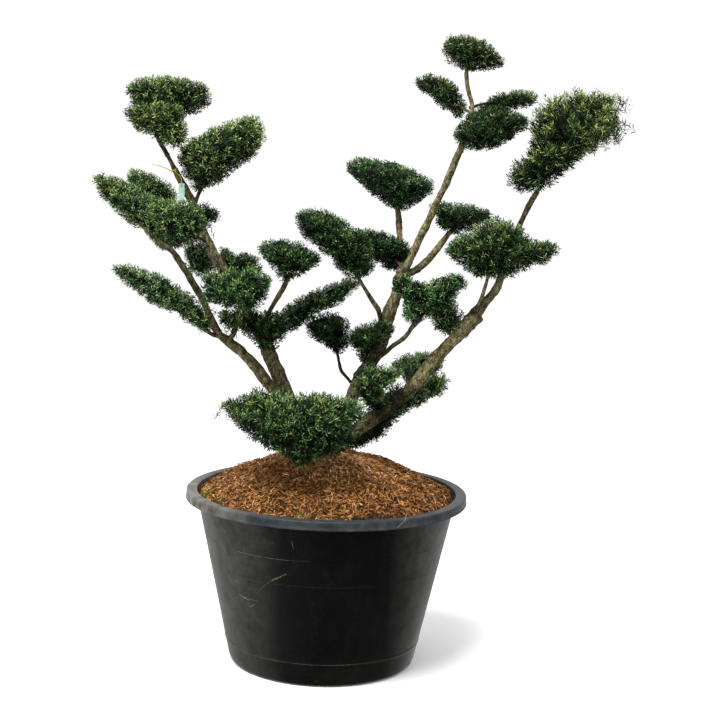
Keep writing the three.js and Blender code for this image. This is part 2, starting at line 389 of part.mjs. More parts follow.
// Label: a plain strip hung by a tie that is wrapped round the left leader.
const label = new THREE.BoxGeometry(LABEL.width, LABEL.thick, LABEL.tall);
label.translate(LABEL.x, LABEL.y, LABEL.z);
const eyeletZ = LABEL.z + LABEL.tall / 2 - 7;
const eyelet = new THREE.CylinderGeometry(LABEL.hole, LABEL.hole, 6, 12);
eyelet.translate(LABEL.x, LABEL.y, eyeletZ);
place("plant_label", toGeometry(positive(label).subtract(positive(eyelet))), 0x8fd6cf, 0.5);

function box(w, d, h, x, y, z) {
  const g = new THREE.BoxGeometry(w, d, h);
  g.translate(x, y, z);
  return positive(g);
}
function tieSolid() {
  const hoop = new THREE.CylinderGeometry(TIE.ring + TIE.band, TIE.ring + TIE.band, TIE.tall, 18);
  hoop.rotateX(Math.PI / 2);
  const bore = new THREE.CylinderGeometry(TIE.ring, TIE.ring, TIE.tall + 4, 18);
  bore.rotateX(Math.PI / 2);
  let tie = positive(hoop).subtract(positive(bore));
  const lean = new THREE.Matrix4().makeRotationY(THREE.MathUtils.degToRad(-26));
  const put = (solid) => {
    const g = toGeometry(solid);
    g.applyMatrix4(lean);
    g.translate(TIE.x, TIE.y, TIE.z);
    return toSolid(g);
  };
  tie = put(tie);
  const tail = limb([[TIE.x - 8.5, -5, TIE.z - 3, 2.6], [TIE.x - 30, -9, TIE.z + 6, 2.4], [TIE.x - 60, -10, TIE.z + 14, 2]], 5, 0);
  const front = limb([[TIE.x + 3, -9.8, TIE.z + 1, 2.4], [LABEL.x - 4, LABEL.y - 2.6, eyeletZ + 26, 1.8], [LABEL.x, LABEL.y - 2.3, eyeletZ + 10, 1.8], [LABEL.x, LABEL.y - 2.3, eyeletZ - 0.4, 1.8]], 5, 0);
  const pin = limb([[LABEL.x, LABEL.y - 3, eyeletZ, 1.8], [LABEL.x, LABEL.y + 2.4, eyeletZ, 1.8]], 6, 0);
  const rear = limb([[LABEL.x, LABEL.y + 2.1, eyeletZ - 0.5, 1.5], [LABEL.x, LABEL.y + 2.1, eyeletZ + 9, 1.5], [LABEL.x, LABEL.y - 1.4, eyeletZ + 15, 1.6]], 5, 0);
  for (const g of [tail, front, pin, rear]) tie = tie.add(positive(g));
  return tie;
}
const tie = tieSolid();
place("label_tie", toGeometry(tie.subtract(woodGrown)), 0xd9c63a, 0.5);

// Foliage pads, each a clipped cloud round the end of its branches.
const grownLabel = box(LABEL.width + 3, LABEL.thick + 8, LABEL.tall + 3, LABEL.x, LABEL.y, LABEL.z);
const plain = PADS.map((p) => positive(padGeometry(p, 1)));
const grown = PADS.map((p) => positive(padGeometry(p, 1.012)));
PADS.forEach((pad, i) => {
  let solid = plain[i];
  for (let j = 0; j < i; j++) {
    const other = plain[j];
    if (solid.intersect(other).volume() > 0) solid = solid.subtract(grown[j]);
  }
  solid = solid.subtract(woodGrown);
  if (solid.intersect(tie).volume() > 0) solid = solid.subtract(tie);
  if (solid.intersect(grownLabel).volume() > 0) solid = solid.subtract(grownLabel);
  place(pad.name, toGeometry(largestShell(solid)), 0x2f4424, 0.8);
});

export default group;
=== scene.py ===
import math
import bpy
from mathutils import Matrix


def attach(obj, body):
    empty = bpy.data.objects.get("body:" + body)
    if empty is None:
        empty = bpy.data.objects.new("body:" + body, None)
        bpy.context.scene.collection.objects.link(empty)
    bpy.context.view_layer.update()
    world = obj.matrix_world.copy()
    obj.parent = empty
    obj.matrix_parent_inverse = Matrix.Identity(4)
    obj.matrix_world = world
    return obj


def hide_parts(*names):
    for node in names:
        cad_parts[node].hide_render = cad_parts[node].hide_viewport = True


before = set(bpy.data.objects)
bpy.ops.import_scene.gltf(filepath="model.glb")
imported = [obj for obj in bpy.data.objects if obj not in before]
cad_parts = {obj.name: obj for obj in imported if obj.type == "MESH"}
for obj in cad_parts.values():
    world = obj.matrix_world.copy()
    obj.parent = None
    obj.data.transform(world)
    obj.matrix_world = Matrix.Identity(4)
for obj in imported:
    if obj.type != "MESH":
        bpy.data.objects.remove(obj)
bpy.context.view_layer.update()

import zlib

import bmesh
import bpy
import numpy as np
from mathutils import Matrix, Vector

MM = 0.001
TAU = 2 * math.pi

# ---------------------------------------------------------------- camera
# Millimetres in the tables, metres in the scene. The front of the tree is -Y.
PITCH = math.radians(7.2)
ROLL = math.radians(2.04)
cam_data = bpy.data.cameras.new("camera")
cam_data.sensor_fit = "HORIZONTAL"
cam_data.sensor_width = 36.0
cam_data.lens = 70.0
cam_data.clip_start = 0.05
cam_data.clip_end = 200.0
cam = bpy.data.objects.new("camera", cam_data)
bpy.context.scene.collection.objects.link(cam)
ahead = Vector((0, math.cos(PITCH), -math.sin(PITCH)))
above = Vector((0, math.sin(PITCH), math.cos(PITCH)))
right = Vector((1, 0, 0))
cam_x = right * math.cos(ROLL) + above * math.sin(ROLL)
cam_y = above * math.cos(ROLL) - right * math.sin(ROLL)
cam_z = -ahead
cam.matrix_world = Matrix((
    (cam_x.x, cam_y.x, cam_z.x, 0.078),
    (cam_x.y, cam_y.y, cam_z.y, -3.743),
    (cam_x.z, cam_y.z, cam_z.z, 1.300),
    (0, 0, 0, 1),
))
bpy.context.scene.camera = cam

# ---------------------------------------------------------------- tables
# name, centre x, y, z, half depth, slew of the mid plane, front outline as x, z offsets from the centre
PADS = (
    ("pad_left_crown_rear", -462, 60, 1513, 105, 0, (-117,12,-107,29,-92,38,-75,43,-58,49,-41,52,-24,52,-7,55,10,57,26,50,43,45,60,47,77,42,94,38,111,29,117,10,116,-9,109,-26,92,-35,76,-43,59,-49,42,-50,25,-53,8,-52,-9,-52,-26,-52,-43,-49,-59,-45,-75,-41,-88,-30,-99,-18,-105,-3)),
    ("pad_left_crown_front", -457, -90, 1438, 80, 0, (-97,28,-84,35,-71,40,-57,47,-43,50,-29,52,-14,52,1,51,15,51,30,50,44,49,52,37,59,25,64,11,68,-3,74,-15,76,-29,71,-42,63,-54,53,-65,38,-65,24,-65,10,-60,-4,-53,-17,-46,-27,-37,-40,-33,-54,-27,-68,-22,-81,-12,-85,4,-87,19)),
    ("pad_left_upper_inner", -310, -40, 1367, 95, -0.3, (-109,2,-98,20,-82,34,-64,44,-43,53,-24,61,-5,67,14,76,32,85,53,90,72,102,97,99,113,82,127,65,125,43,120,22,111,4,100,-16,80,-26,61,-36,42,-46,26,-59,15,-77,-3,-91,-25,-99,-44,-108,-64,-109,-77,-91,-90,-74,-101,-57,-110,-38,-112,-18)),
    ("pad_left_outer", -495, 45, 1198, 115, 0.15, (-157,98,-131,101,-108,98,-85,93,-64,84,-43,73,-23,61,-1,51,20,43,43,36,64,28,85,17,105,4,124,-10,138,-27,139,-49,125,-68,105,-81,83,-92,60,-97,37,-98,12,-89,-2,-67,-14,-48,-34,-37,-55,-27,-76,-15,-92,2,-110,16,-127,32,-141,51,-149,73)),
    ("pad_left_outer_rear", -524, 205, 1269, 70, -0.2, (-50,49,-38,46,-25,46,-12,45,-1,40,10,34,20,27,32,23,43,18,53,10,62,2,70,-9,75,-19,77,-30,74,-41,64,-46,51,-46,38,-46,25,-44,16,-40,4,-37,-8,-34,-19,-30,-30,-24,-41,-18,-51,-12,-61,-3,-69,6,-78,16,-78,26,-73,37,-63,46)),
    ("pad_left_mid_front", -405, -130, 1188, 75, 0, (-75,39,-64,48,-53,56,-40,57,-26,56,-12,54,2,52,15,50,29,49,42,43,55,39,69,33,75,20,81,7,81,-6,75,-19,66,-29,54,-36,41,-43,31,-52,22,-62,10,-69,-4,-70,-17,-66,-29,-59,-43,-52,-49,-38,-55,-25,-62,-14,-69,-1,-70,12,-73,26)),
    ("pad_left_mid_rear", -358, 85, 1196, 55, 0, (-25,32,-18,32,-12,32,-5,31,1,32,9,30,15,31,24,29,29,22,32,16,35,9,35,4,31,1,28,-6,27,-11,22,-15,14,-16,5,-18,3,-23,1,-26,-5,-27,-11,-28,-17,-29,-20,-24,-23,-18,-26,-12,-29,-6,-31,0,-31,6,-30,12,-28,19,-26,25)),
    ("pad_left_inner_rear", -371, 100, 1081, 65, 0, (-50,31,-42,37,-34,43,-26,48,-17,48,-7,52,4,51,13,46,19,38,25,31,31,20,34,12,39,4,45,-4,50,-12,55,-20,50,-27,43,-34,36,-41,26,-43,17,-46,8,-48,-1,-48,-9,-45,-20,-39,-28,-36,-36,-26,-38,-18,-44,-7,-46,2,-46,12,-48,21)),
    ("pad_left_inner_upper", -263, 85, 1064, 70, 0, (-61,30,-54,38,-47,48,-38,46,-30,38,-18,32,-7,32,4,34,17,37,29,35,39,29,49,28,58,18,63,10,69,0,67,-11,65,-22,58,-29,47,-34,37,-38,26,-41,15,-41,3,-42,-8,-42,-19,-38,-30,-35,-40,-31,-48,-23,-53,-13,-59,-3,-62,7,-62,19)),
    ("pad_left_inner_front", -249, -120, 1019, 100, 0, (-92,25,-81,36,-67,43,-51,47,-36,50,-20,51,-4,52,11,52,27,53,43,53,57,48,71,40,85,32,97,23,95,13,87,1,85,-15,78,-29,68,-41,56,-51,42,-59,27,-60,11,-57,-4,-54,-20,-51,-35,-48,-51,-45,-66,-42,-81,-35,-87,-22,-90,-6,-92,9)),
    ("pad_left_inner_lower", -245, -35, 931, 50, 0, (-64,18,-55,22,-46,24,-36,26,-26,27,-16,28,-6,29,3,30,13,31,23,30,33,29,43,28,49,23,54,14,58,5,55,-4,52,-14,49,-23,40,-28,31,-33,23,-38,13,-35,4,-31,-6,-29,-15,-26,-25,-28,-34,-32,-40,-24,-47,-17,-53,-9,-57,0,-61,9)),
    ("pad_centre_long", -60, 40, 965, 75, -0.15, (-118,-39,-102,-26,-85,-16,-69,-3,-53,8,-37,20,-21,32,-4,43,16,48,34,55,52,64,69,72,88,78,106,83,125,81,135,68,123,52,110,37,99,21,82,9,63,2,46,-7,30,-17,12,-27,-4,-39,-17,-53,-32,-67,-51,-75,-70,-83,-87,-82,-105,-74,-113,-58)),
    ("pad_centre_low", -175, -70, 913, 65, 0, (-74,15,-65,25,-57,34,-49,42,-37,44,-25,45,-13,46,-1,45,11,44,23,43,34,39,45,34,56,29,64,21,71,10,64,0,59,-10,56,-23,49,-34,42,-42,33,-51,25,-61,12,-60,0,-62,-13,-58,-20,-49,-29,-39,-36,-29,-45,-22,-55,-20,-65,-10,-70,3)),
    ("pad_left_low_long", -432, -90, 988, 85, 0.3, (-136,76,-118,81,-100,81,-79,75,-61,69,-42,62,-22,57,-3,51,14,38,31,25,47,11,63,0,80,-13,94,-30,106,-47,117,-65,125,-84,111,-99,90,-94,76,-77,63,-59,45,-48,26,-39,6,-34,-14,-29,-34,-24,-54,-15,-65,5,-81,17,-98,27,-114,39,-129,55)),
    ("pad_centre_small", -120, -50, 1098, 85, -0.2, (-86,17,-79,34,-64,39,-52,46,-39,51,-25,53,-12,49,1,46,14,44,28,46,42,42,53,33,63,25,76,19,85,10,91,-5,81,-17,69,-22,59,-32,48,-40,35,-45,23,-50,13,-56,0,-65,-12,-64,-24,-54,-31,-43,-39,-33,-48,-25,-58,-15,-69,-8,-78,3)),
    ("pad_centre_upper_front", 12, -40, 1144, 95, 0.25, (-120,72,-103,87,-83,89,-63,92,-45,85,-27,78,-7,75,10,64,24,50,38,38,59,36,74,24,85,6,92,-11,95,-31,99,-50,98,-70,88,-88,70,-99,51,-98,32,-92,14,-85,-4,-74,-14,-57,-26,-43,-40,-33,-56,-22,-70,-7,-84,3,-102,12,-110,32,-114,51)),
    ("pad_centre_upper_rear", 137, 125, 1119, 75, 0, (-81,51,-66,57,-52,62,-36,61,-23,59,-8,57,6,51,20,49,32,40,43,32,56,26,67,18,77,8,87,-2,83,-15,76,-26,70,-38,63,-51,51,-55,37,-60,23,-60,8,-59,-3,-49,-14,-41,-28,-36,-40,-30,-51,-22,-62,-14,-71,-4,-77,9,-85,21,-85,34)),
    ("pad_centre_high", 144, 235, 1306, 130, 0, (-125,51,-108,59,-91,66,-71,70,-53,66,-35,61,-16,58,3,60,23,55,41,48,60,44,76,35,89,23,107,15,130,7,131,-21,113,-35,99,-49,84,-61,67,-71,49,-76,29,-82,9,-77,-8,-66,-21,-54,-36,-44,-53,-37,-72,-28,-83,-12,-96,0,-110,13,-124,27)),
    ("pad_right_upper_rear", 337, 140, 1219, 90, 0, (-83,25,-73,35,-60,39,-47,40,-34,39,-22,35,-9,35,4,36,17,34,29,34,43,37,56,30,67,23,80,21,97,13,92,-4,81,-14,70,-19,58,-26,47,-30,35,-36,23,-39,10,-43,-2,-46,-15,-49,-28,-45,-40,-40,-52,-34,-65,-26,-72,-12,-75,0,-80,13)),
    ("pad_right_upper_front", 427, -125, 1142, 130, -0.1, (-144,10,-128,30,-107,41,-86,50,-69,62,-51,76,-30,86,-9,89,14,85,35,76,56,64,71,49,86,34,108,29,129,33,151,26,154,3,143,-19,125,-36,102,-37,83,-47,63,-57,44,-68,23,-78,0,-78,-22,-78,-44,-81,-68,-73,-85,-59,-102,-44,-123,-35,-148,-17)),
    ("pad_right_mid_inner", 217, -45, 1003, 65, 0, (-57,56,-46,59,-33,64,-21,61,-10,56,3,52,15,48,27,43,37,36,48,28,55,17,60,6,62,-7,61,-19,57,-31,50,-42,40,-51,29,-56,18,-63,6,-69,-7,-69,-19,-65,-27,-58,-32,-47,-33,-34,-35,-21,-38,-9,-44,3,-52,13,-60,23,-65,34,-63,45)),
    ("pad_right_mid_outer", 292, -20, 1022, 65, 0, (-62,18,-51,21,-40,26,-31,32,-21,38,-10,42,1,45,11,48,23,51,34,54,45,51,55,44,61,33,65,21,60,10,52,2,45,-7,39,-17,35,-27,33,-38,27,-47,17,-52,6,-54,-6,-54,-17,-53,-27,-48,-37,-42,-45,-35,-52,-25,-58,-16,-61,-5,-63,6)),
    ("pad_right_mid_low", 301, 20, 954, 60, 0, (-62,30,-53,37,-43,44,-33,48,-22,49,-10,51,1,51,13,51,25,50,33,42,40,33,46,23,51,13,57,2,60,-8,61,-20,60,-29,50,-35,41,-43,32,-50,22,-56,11,-60,0,-57,-11,-53,-22,-48,-30,-40,-39,-32,-47,-24,-55,-16,-61,-4,-65,7,-66,18)),
    ("pad_centre_low_small", -6, -5, 903, 70, 0, (-69,22,-61,32,-52,40,-41,43,-30,46,-19,47,-7,51,5,52,17,51,28,49,38,45,50,37,54,24,55,13,54,1,52,-10,54,-21,55,-33,50,-42,43,-51,33,-58,22,-63,10,-58,-2,-55,-11,-47,-20,-39,-30,-34,-40,-29,-50,-23,-58,-12,-65,-1,-68,10)),
    ("pad_right_stem_rear", 100, -50, 891, 60, 0, (-65,0,-61,12,-58,24,-49,32,-37,37,-24,41,-12,44,-2,45,8,49,19,56,33,54,45,53,57,48,67,41,77,28,67,15,59,6,49,-2,40,-11,34,-21,28,-32,21,-43,14,-52,4,-61,-4,-70,-14,-67,-25,-60,-30,-49,-35,-37,-45,-30,-55,-22,-60,-11)),
    ("pad_right_stem_front", 123, -85, 771, 65, 0, (-52,32,-45,44,-36,53,-24,59,-11,59,3,59,16,57,30,56,43,54,55,49,68,45,68,32,64,20,53,12,43,4,33,-6,29,-18,32,-31,38,-43,34,-56,26,-67,15,-74,2,-77,-11,-73,-23,-67,-33,-58,-42,-47,-48,-34,-54,-23,-59,-10,-64,5,-58,20)),
    ("pad_right_low_rear", 240, 140, 797, 85, 0, (-73,4,-64,12,-56,21,-47,29,-36,32,-24,32,-11,35,0,40,12,43,24,43,35,40,46,33,56,25,68,26,74,22,73,14,67,7,61,-2,51,-12,42,-19,31,-26,21,-32,11,-41,1,-49,-9,-56,-20,-60,-31,-55,-39,-45,-44,-34,-47,-22,-55,-12,-65,-3)),
    ("pad_right_low_outer", 249, 70, 731, 70, 0, (33,62,46,59,60,58,72,49,76,34,75,20,67,8,54,3,44,-5,32,-12,21,-17,10,-25,-3,-30,-13,-37,-22,-43,-31,-49,-44,-51,-55,-58,-66,-65,-78,-59,-75,-45,-73,-32,-67,-20,-60,-9,-50,0,-37,3,-26,4,-16,13,-6,22,3,33,11,44,20,54)),
    ("pad_right_foot", 143, 115, 655, 80, 0, (-99,-96,-94,-78,-86,-62,-76,-48,-65,-35,-53,-22,-43,-8,-33,6,-22,20,-11,34,-2,48,5,64,14,79,27,90,43,96,60,95,72,85,76,69,73,52,68,35,61,19,55,3,45,-12,33,-25,22,-38,11,-52,-2,-63,-18,-73,-35,-77,-48,-88,-63,-95,-81,-94)),
    ("pad_front_foot", -78, -185, 683, 140, 0, (-96,88,-68,82,-38,86,-11,80,20,82,50,81,80,78,110,76,139,70,166,62,182,39,174,11,162,-16,150,-43,130,-64,104,-77,80,-92,54,-107,26,-114,-5,-115,-29,-97,-53,-79,-81,-73,-105,-54,-131,-39,-157,-24,-178,0,-191,26,-204,51,-178,60,-149,65,-125,83)),
    ("pad_right_crown_top", 347, 65, 1653, 95, 0, (-84,18,-79,34,-68,46,-53,48,-40,52,-26,49,-14,48,0,46,11,41,24,36,36,35,45,27,56,20,66,11,73,1,82,-8,89,-19,83,-29,71,-35,60,-43,46,-46,32,-45,20,-47,7,-53,-6,-50,-19,-45,-31,-38,-41,-34,-53,-28,-67,-22,-74,-10,-79,3)),
    ("pad_right_crown_left", 278, 105, 1548, 75, 0, (-86,32,-71,43,-59,44,-48,52,-34,56,-21,53,-10,46,2,42,13,38,26,32,35,24,43,15,51,3,55,-7,59,-19,68,-28,65,-40,61,-51,56,-63,45,-66,34,-59,23,-52,13,-47,3,-42,-8,-35,-18,-27,-25,-16,-33,-7,-47,-5,-58,-1,-67,9,-77,17)),
    ("pad_right_crown_rear", 463, 170, 1538, 80, 0, (-92,-19,-81,-15,-73,-8,-66,2,-57,10,-45,15,-33,20,-22,23,-9,26,2,32,14,31,26,33,37,32,49,31,62,29,73,22,79,10,77,0,69,-9,58,-13,46,-16,34,-18,23,-20,11,-21,-1,-22,-13,-24,-25,-25,-37,-27,-48,-29,-60,-31,-71,-28,-82,-23)),
    ("pad_right_crown_front", 397, -30, 1456, 115, 0, (-99,-18,-90,-4,-81,7,-72,18,-65,32,-53,41,-39,47,-25,50,-9,56,6,60,21,58,37,56,52,52,66,47,80,40,93,32,100,18,96,4,88,-8,76,-16,64,-25,49,-32,38,-42,27,-54,10,-58,-6,-58,-21,-62,-37,-64,-54,-63,-69,-57,-85,-47,-96,-35)),
    ("pad_right_outer_loose", 581, -84, 1434, 150, -0.25, (-75,83,-52,101,-25,110,1,115,25,127,53,125,81,122,110,121,134,107,130,84,123,58,143,41,137,19,118,-1,95,-19,77,-41,53,-54,40,-75,15,-89,-7,-107,-26,-128,-53,-140,-81,-148,-108,-141,-135,-129,-143,-102,-129,-77,-108,-56,-93,-33,-87,-4,-87,26,-80,55)),
)

# how each pad was clipped and how it looks: cut, warmth of the green (0 blue, 1 yellow), tone, fall of the tone from
# its top to its foot; tone is partly painted light for how lit the pad is, and fall paints light and shade between
# its top and its foot
LOOKS = {
    "pad_left_crown_rear": ("normal", 0.74, 1.0, 0.8),
    "pad_left_crown_front": ("normal", 0.97, 2.1, -3.0),
    "pad_left_upper_inner": ("normal", 0.73, 1.6, 4.0),
    "pad_left_outer": ("normal", 0.38, 3.6, -2.6),
    "pad_left_outer_rear": ("normal", 0.32, 5.0, -3.0),
    "pad_left_mid_front": ("normal", 0.38, 2.0, 1.2),
    "pad_left_mid_rear": ("normal", 0.60, 0.0, 3.5),
    "pad_left_inner_rear": ("normal", 0.02, 4.9, 6.7),
    "pad_left_inner_upper": ("normal", 0.22, 0.4, 9.0),
    "pad_left_inner_front": ("normal", 0.14, 1.2, -1.5),
    "pad_left_inner_lower": ("normal", 0.80, 5.0, -1.4),
    "pad_centre_long": ("clipped", 0.02, 1.9, 9.0),
    "pad_centre_low": ("normal", 0.57, -1.7, -0.9),
    "pad_left_low_long": ("normal", 0.30, 2.5, -1.3),
    "pad_centre_small": ("clipped", 0.02, -0.2, 0.1),
    "pad_centre_upper_front": ("clipped", 0.27, -0.6, 0.5),
    "pad_centre_upper_rear": ("clipped", 0.04, -3.7, 9.0),
    "pad_centre_high": ("clipped", 0.16, 0.0, -0.9),
    "pad_right_upper_rear": ("clipped", 0.02, -1.0, 5.9),
    "pad_right_upper_front": ("soft", 0.48, -1.4, 0.9),
    "pad_right_mid_inner": ("clipped", 0.07, 2.5, -3.0),
    "pad_right_mid_outer": ("clipped", 0.02, 3.0, 3.0),
    "pad_right_mid_low": ("soft", 0.27, 2.5, 1.4),
    "pad_centre_low_small": ("clipped", 0.02, -5.5, 7.8),
    "pad_right_stem_rear": ("clipped", 0.32, -1.1, -1.0),
    "pad_right_stem_front": ("normal", 0.38, 0.4, 4.5),
    "pad_right_low_rear": ("normal", 0.02, 4.7, 9.0),
    "pad_right_low_outer": ("normal", 0.20, 3.4, 2.4),
    "pad_right_foot": ("normal", 0.68, -3.9, 1.7),
    "pad_front_foot": ("soft", 0.21, -0.4, 2.7),
    "pad_right_crown_top": ("clipped", 0.83, -0.1, 0.3),
    "pad_right_crown_left": ("clipped", 0.57, 0.6, -2.7),
    "pad_right_crown_rear": ("clipped", 0.34, 0.4, 4.6),
    "pad_right_crown_front": ("clipped", 0.50, -1.4, -3.0),
    "pad_right_outer_loose": ("loose", 0.75, -0.8, 3.8),
}

# needle length, width, shoot length, shoots a square metre, needles a shoot, raggedness, all in metres
CUTS = {
    "clipped": (0.0110, 0.0022, 0.023, 9600, 9, 0.0014),
    "normal": (0.0135, 0.0023, 0.027, 8000, 10, 0.0024),
    "soft": (0.0165, 0.0022, 0.034, 6900, 13, 0.0055),
    "loose": (0.0195, 0.0022, 0.050, 4800, 20, 0.0110),
}

# x, y, z, diameter along each stem
STEMS = {
    "stem_left": ((-45,20,505,60),(-55,20,566,52),(-73,20,620,44),(-95,15,675,38),(-121,10,729,36)),
    "left_low": ((-92,15,675,36),(-120,0,709,31),(-166,-10,754,29),(-202,-15,801,27.8),(-232,-20,833,25.3),(-255,-20,851,25.7),(-281,-20,870,25),(-300,-20,883,22)),
    "left_out": ((-300,-20,883,21),(-324,-15,921,20),(-343,-10,967,19),(-369,-10,1011,19.3),(-391,-15,1047,18),(-413,-20,1078,17),(-429,-25,1103,15.5),(-453,-30,1120,14.5),(-481,-30,1144,13),(-503,-25,1161,11.5),(-531,-10,1186,9.5),(-559,20,1215,7)),
    "left_high": ((-95,15,675,36),(-121,15,728,36),(-148,20,786,35),(-167,20,826,36),(-181,20,863,32),(-211,15,909,29),(-232,15,949,28),(-251,10,990,27),(-273,10,1030,26),(-299,5,1062,25),(-319,0,1092,24),(-334,0,1124,22.5),(-348,0,1150,21.5),(-361,0,1183,21),(-374,0,1214,20.5),(-389,0,1245,19.5),(-409,0,1280,17),(-430,0,1316,14),(-446,0,1347,10.9),(-463,0,1376,11),(-479,0,1404,10),(-491,20,1447,8.5),(-485,45,1485,7)),
    "stem_right": ((-26,30,504,64),(-17,30,566,54),(15,30,628,44),(43,30,678,38),(62,30,726,36),(78,30,772,34),(97,30,804,33),(125,30,843,32),(141,30,893,32),(145,30,930,35.3),(152,30,956,32.7),(169,30,1003,30),(178,30,1030,28),(184,30,1058,25),(204,30,1104,19.5),(225,30,1153,18.5),(242,30,1193,19.5),(258,30,1229,18),(273,30,1267,17.5),(295,30,1316,18.3),(313,20,1369,17.1),(326,10,1402,17.7),(337,10,1444,13),(347,20,1481,12),(352,30,1513,11),(340,40,1556,10.7),(334,50,1600,10),(340,60,1646,7)),
    "stem_outer": ((-9,0,516,56),(6,0,561,48),(48,-5,613,40),(101,-10,657,37),(151,-10,697,36),(201,-10,739,35),(232,-10,773,35),(253,-10,801,34),(276,-10,834,33),(310,-10,875,28.9),(338,-10,903,31),(367,-10,939,33),(388,-10,963,33.2)),
    "outer_high": ((382,-10,960,24),(398,-10,987,26.1),(422,-10,1013,22.9),(437,-8,1037,23.2),(448,0,1071,18.5),(458,15,1104,18),(471,25,1150,17),(485,25,1184,16),(495,20,1211,15),(506,10,1241,15.3),(519,0,1270,15.3),(531,-20,1297,12),(546,-50,1339,9),(567,-80,1381,6.5)),
    "outer_thin": ((381,-20,971,12),(392,-40,1004,9.5),(398,-60,1032,10.9),(404,-85,1071,8),(397,-120,1114,6.5)),

}
BRANCHES = {
    "b01": ((-481,10,1420,6),(-516,45,1468,5.5),(-535,55,1499,4.5)),
    "b01b": ((-491,18,1441,7),(-480,50,1464,6),(-450,65,1492,5.5),(-418,65,1509,4.5)),
    "b02": ((-451,0,1355,9.1),(-469,-30,1387,7),(-476,-70,1427,5.5)),
    "b03": ((-378,0,1225,11),(-363,-10,1260,10),(-340,-20,1302,8.5),(-300,-45,1351,7),(-260,-70,1394,5)),
    "b04": ((-372,0,1203,9),(-413,30,1206,8),(-454,55,1183,6)),
    "b05": ((-378,2,1225,9),(-415,60,1216,8),(-454,130,1216,7.5),(-494,175,1231,7),(-526,200,1257,5)),
    "b06": ((-344,0,1132,8.5),(-362,-50,1147,8),(-389,-115,1179,6)),
    "b07": ((-358,5,1166,7),(-353,50,1186,6),(-353,90,1202,5)),
    "b08": ((-316,0,1082,8),(-343,50,1073,7),(-371,100,1083,5)),
    "b09": ((-284,10,1040,9),(-271,40,1055,8),(-258,70,1075,6)),
    "b10": ((-277,-20,868,13),(-259,-30,896,12),(-251,-60,937,11),(-239,-100,986,9),(-243,-130,1020,6.5)),
    "b11": ((-266,-32,891,6.5),(-243,-30,922,6),(-226,-30,936,5)),
    "b12": ((-184,20,873,11),(-163,20,898,10.5),(-131,30,920,10),(-94,35,945,9),(-41,30,980,7.5),(12,20,1012,5)),
    "b13": ((-172,20,848,9),(-175,-30,876,8.5),(-178,-75,907,6)),
    "b14": ((-296,-20,880,12),(-323,-30,888,11),(-354,-45,917,10.5),(-393,-65,951,9.5),(-437,-85,984,8),(-482,-100,1013,6)),
    "b15": ((-188,18,880,12),(-178,0,920,12),(-169,-10,950,12),(-147,-25,991,13.6),(-129,-40,1023,13.4),(-118,-45,1054,10),(-111,-55,1093,7)),
    "b16": ((138,30,913,12),(128,20,941,11.5),(122,10,963,12.9),(100,0,996,12.4),(77,-10,1031,10.5),(57,-20,1063,9),(29,-35,1110,6.5)),
    "b17": ((188,30,1069,10),(177,60,1083,9),(150,105,1110,6.5)),
    "b18": ((172,30,1043,18),(183,70,1075,17),(183,120,1110,16.5),(177,165,1153,16),(173,195,1196,17.8),(168,220,1234,13),(158,240,1279,9)),
    "b19": ((189,30,1061,17),(221,60,1071,19.3),(256,100,1101,18.8),(283,125,1132,18),(307,140,1165,14),(326,150,1187,11),(340,155,1217,8)),
    "b21": ((68,20,781,13),(87,2,805,12.5),(114,0,827,12),(137,-5,843,12),(163,0,867,13.4),(191,0,888,14.1),(211,-10,915,12.7),(222,-20,948,9.5),(215,-35,989,7)),
    "b22": ((210,-10,915,10.4),(233,-10,940,7.5),(252,-10,973,7),(271,-10,1001,6.5),(296,-15,1024,5)),
    "b23": ((330,-10,900,8.5),(312,0,911,8),(303,10,932,6)),
    "b24": ((64,30,750,9.5),(48,20,771,9),(29,10,794,11.1),(22,0,819,8.9),(15,0,846,7.5),(-4,0,883,5.5)),
    "b25": ((131,30,872,9),(119,-10,879,8),(105,-45,887,5.5)),
    "b26": ((77,30,777,9),(91,-30,777,8.5),(109,-90,776,6)),
    "b27": ((215,-10,757,11),(212,60,769,10),(235,140,790,7)),
    "b28": ((184,-10,726,10),(218,30,721,9),(263,75,735,6)),
    "b29": ((95,-8,651,10),(112,50,636,9),(132,110,629,6)),
    "b30": ((-58,15,584,17),(-67,-50,623,15),(-84,-120,662,13),(-107,-190,689,9)),
    "b30b": ((-15,0,544,14),(-5,-50,587,13),(-4,-120,638,12),(7,-190,682,8)),
    "b32": ((349,25,1495,8.5),(327,60,1509,8),(302,100,1529,7),(274,105,1552,5)),
    "b33": ((348,28,1508,8.5),(381,90,1522,8),(435,150,1537,7),(479,170,1541,5)),
    "b34": ((342,15,1465,8),(369,-40,1453,7.5),(407,-90,1453,5.5)),
    "b20": ((474,25,1155,8),(484,-40,1150,7.5),(505,-90,1143,5.5)),

}
# x, y, z, size and depth of the stretches of bark painted dark as shadow
PAINTED_SHADOWS = ((118, -10, 671, 26, 0.80), (142, -10, 691, 36, 0.985), (168, -10, 713, 36, 0.985), (192, -10, 733, 30, 0.93), (214, -10, 754, 24, 0.70), (40, 0, 606, 44, 0.90), (137, 30, 893, 60, 0.45), (100, 30, 812, 36, 0.5), (390, -10, 985, 36, 0.55), (-295, -20, 885, 30, 0.45), (-200, 15, 900, 60, 0.5), (-118, 0, 711, 40, 0.35), (178, 30, 1050, 36, 0.5), (196, 60, 1090, 40, 0.4))
# x, z, size and rise of the swollen knots
KNOTS = ((366, 938, 26, 3.2), (382, 968, 16, 3.5), (-322, 922, 22, 3.0), (150, 955, 26, 2.6), (-166, 838, 30, 2.0), (178, 1036, 24, 2.0), (452, 1028, 18, 2.2))
FLARE = ((-24, 14, 455, 96), (-24, 14, 520, 100), (-22, 16, 556, 78))


# ---------------------------------------------------------------- helpers
def seed_of(name):
    return zlib.crc32(name.encode())


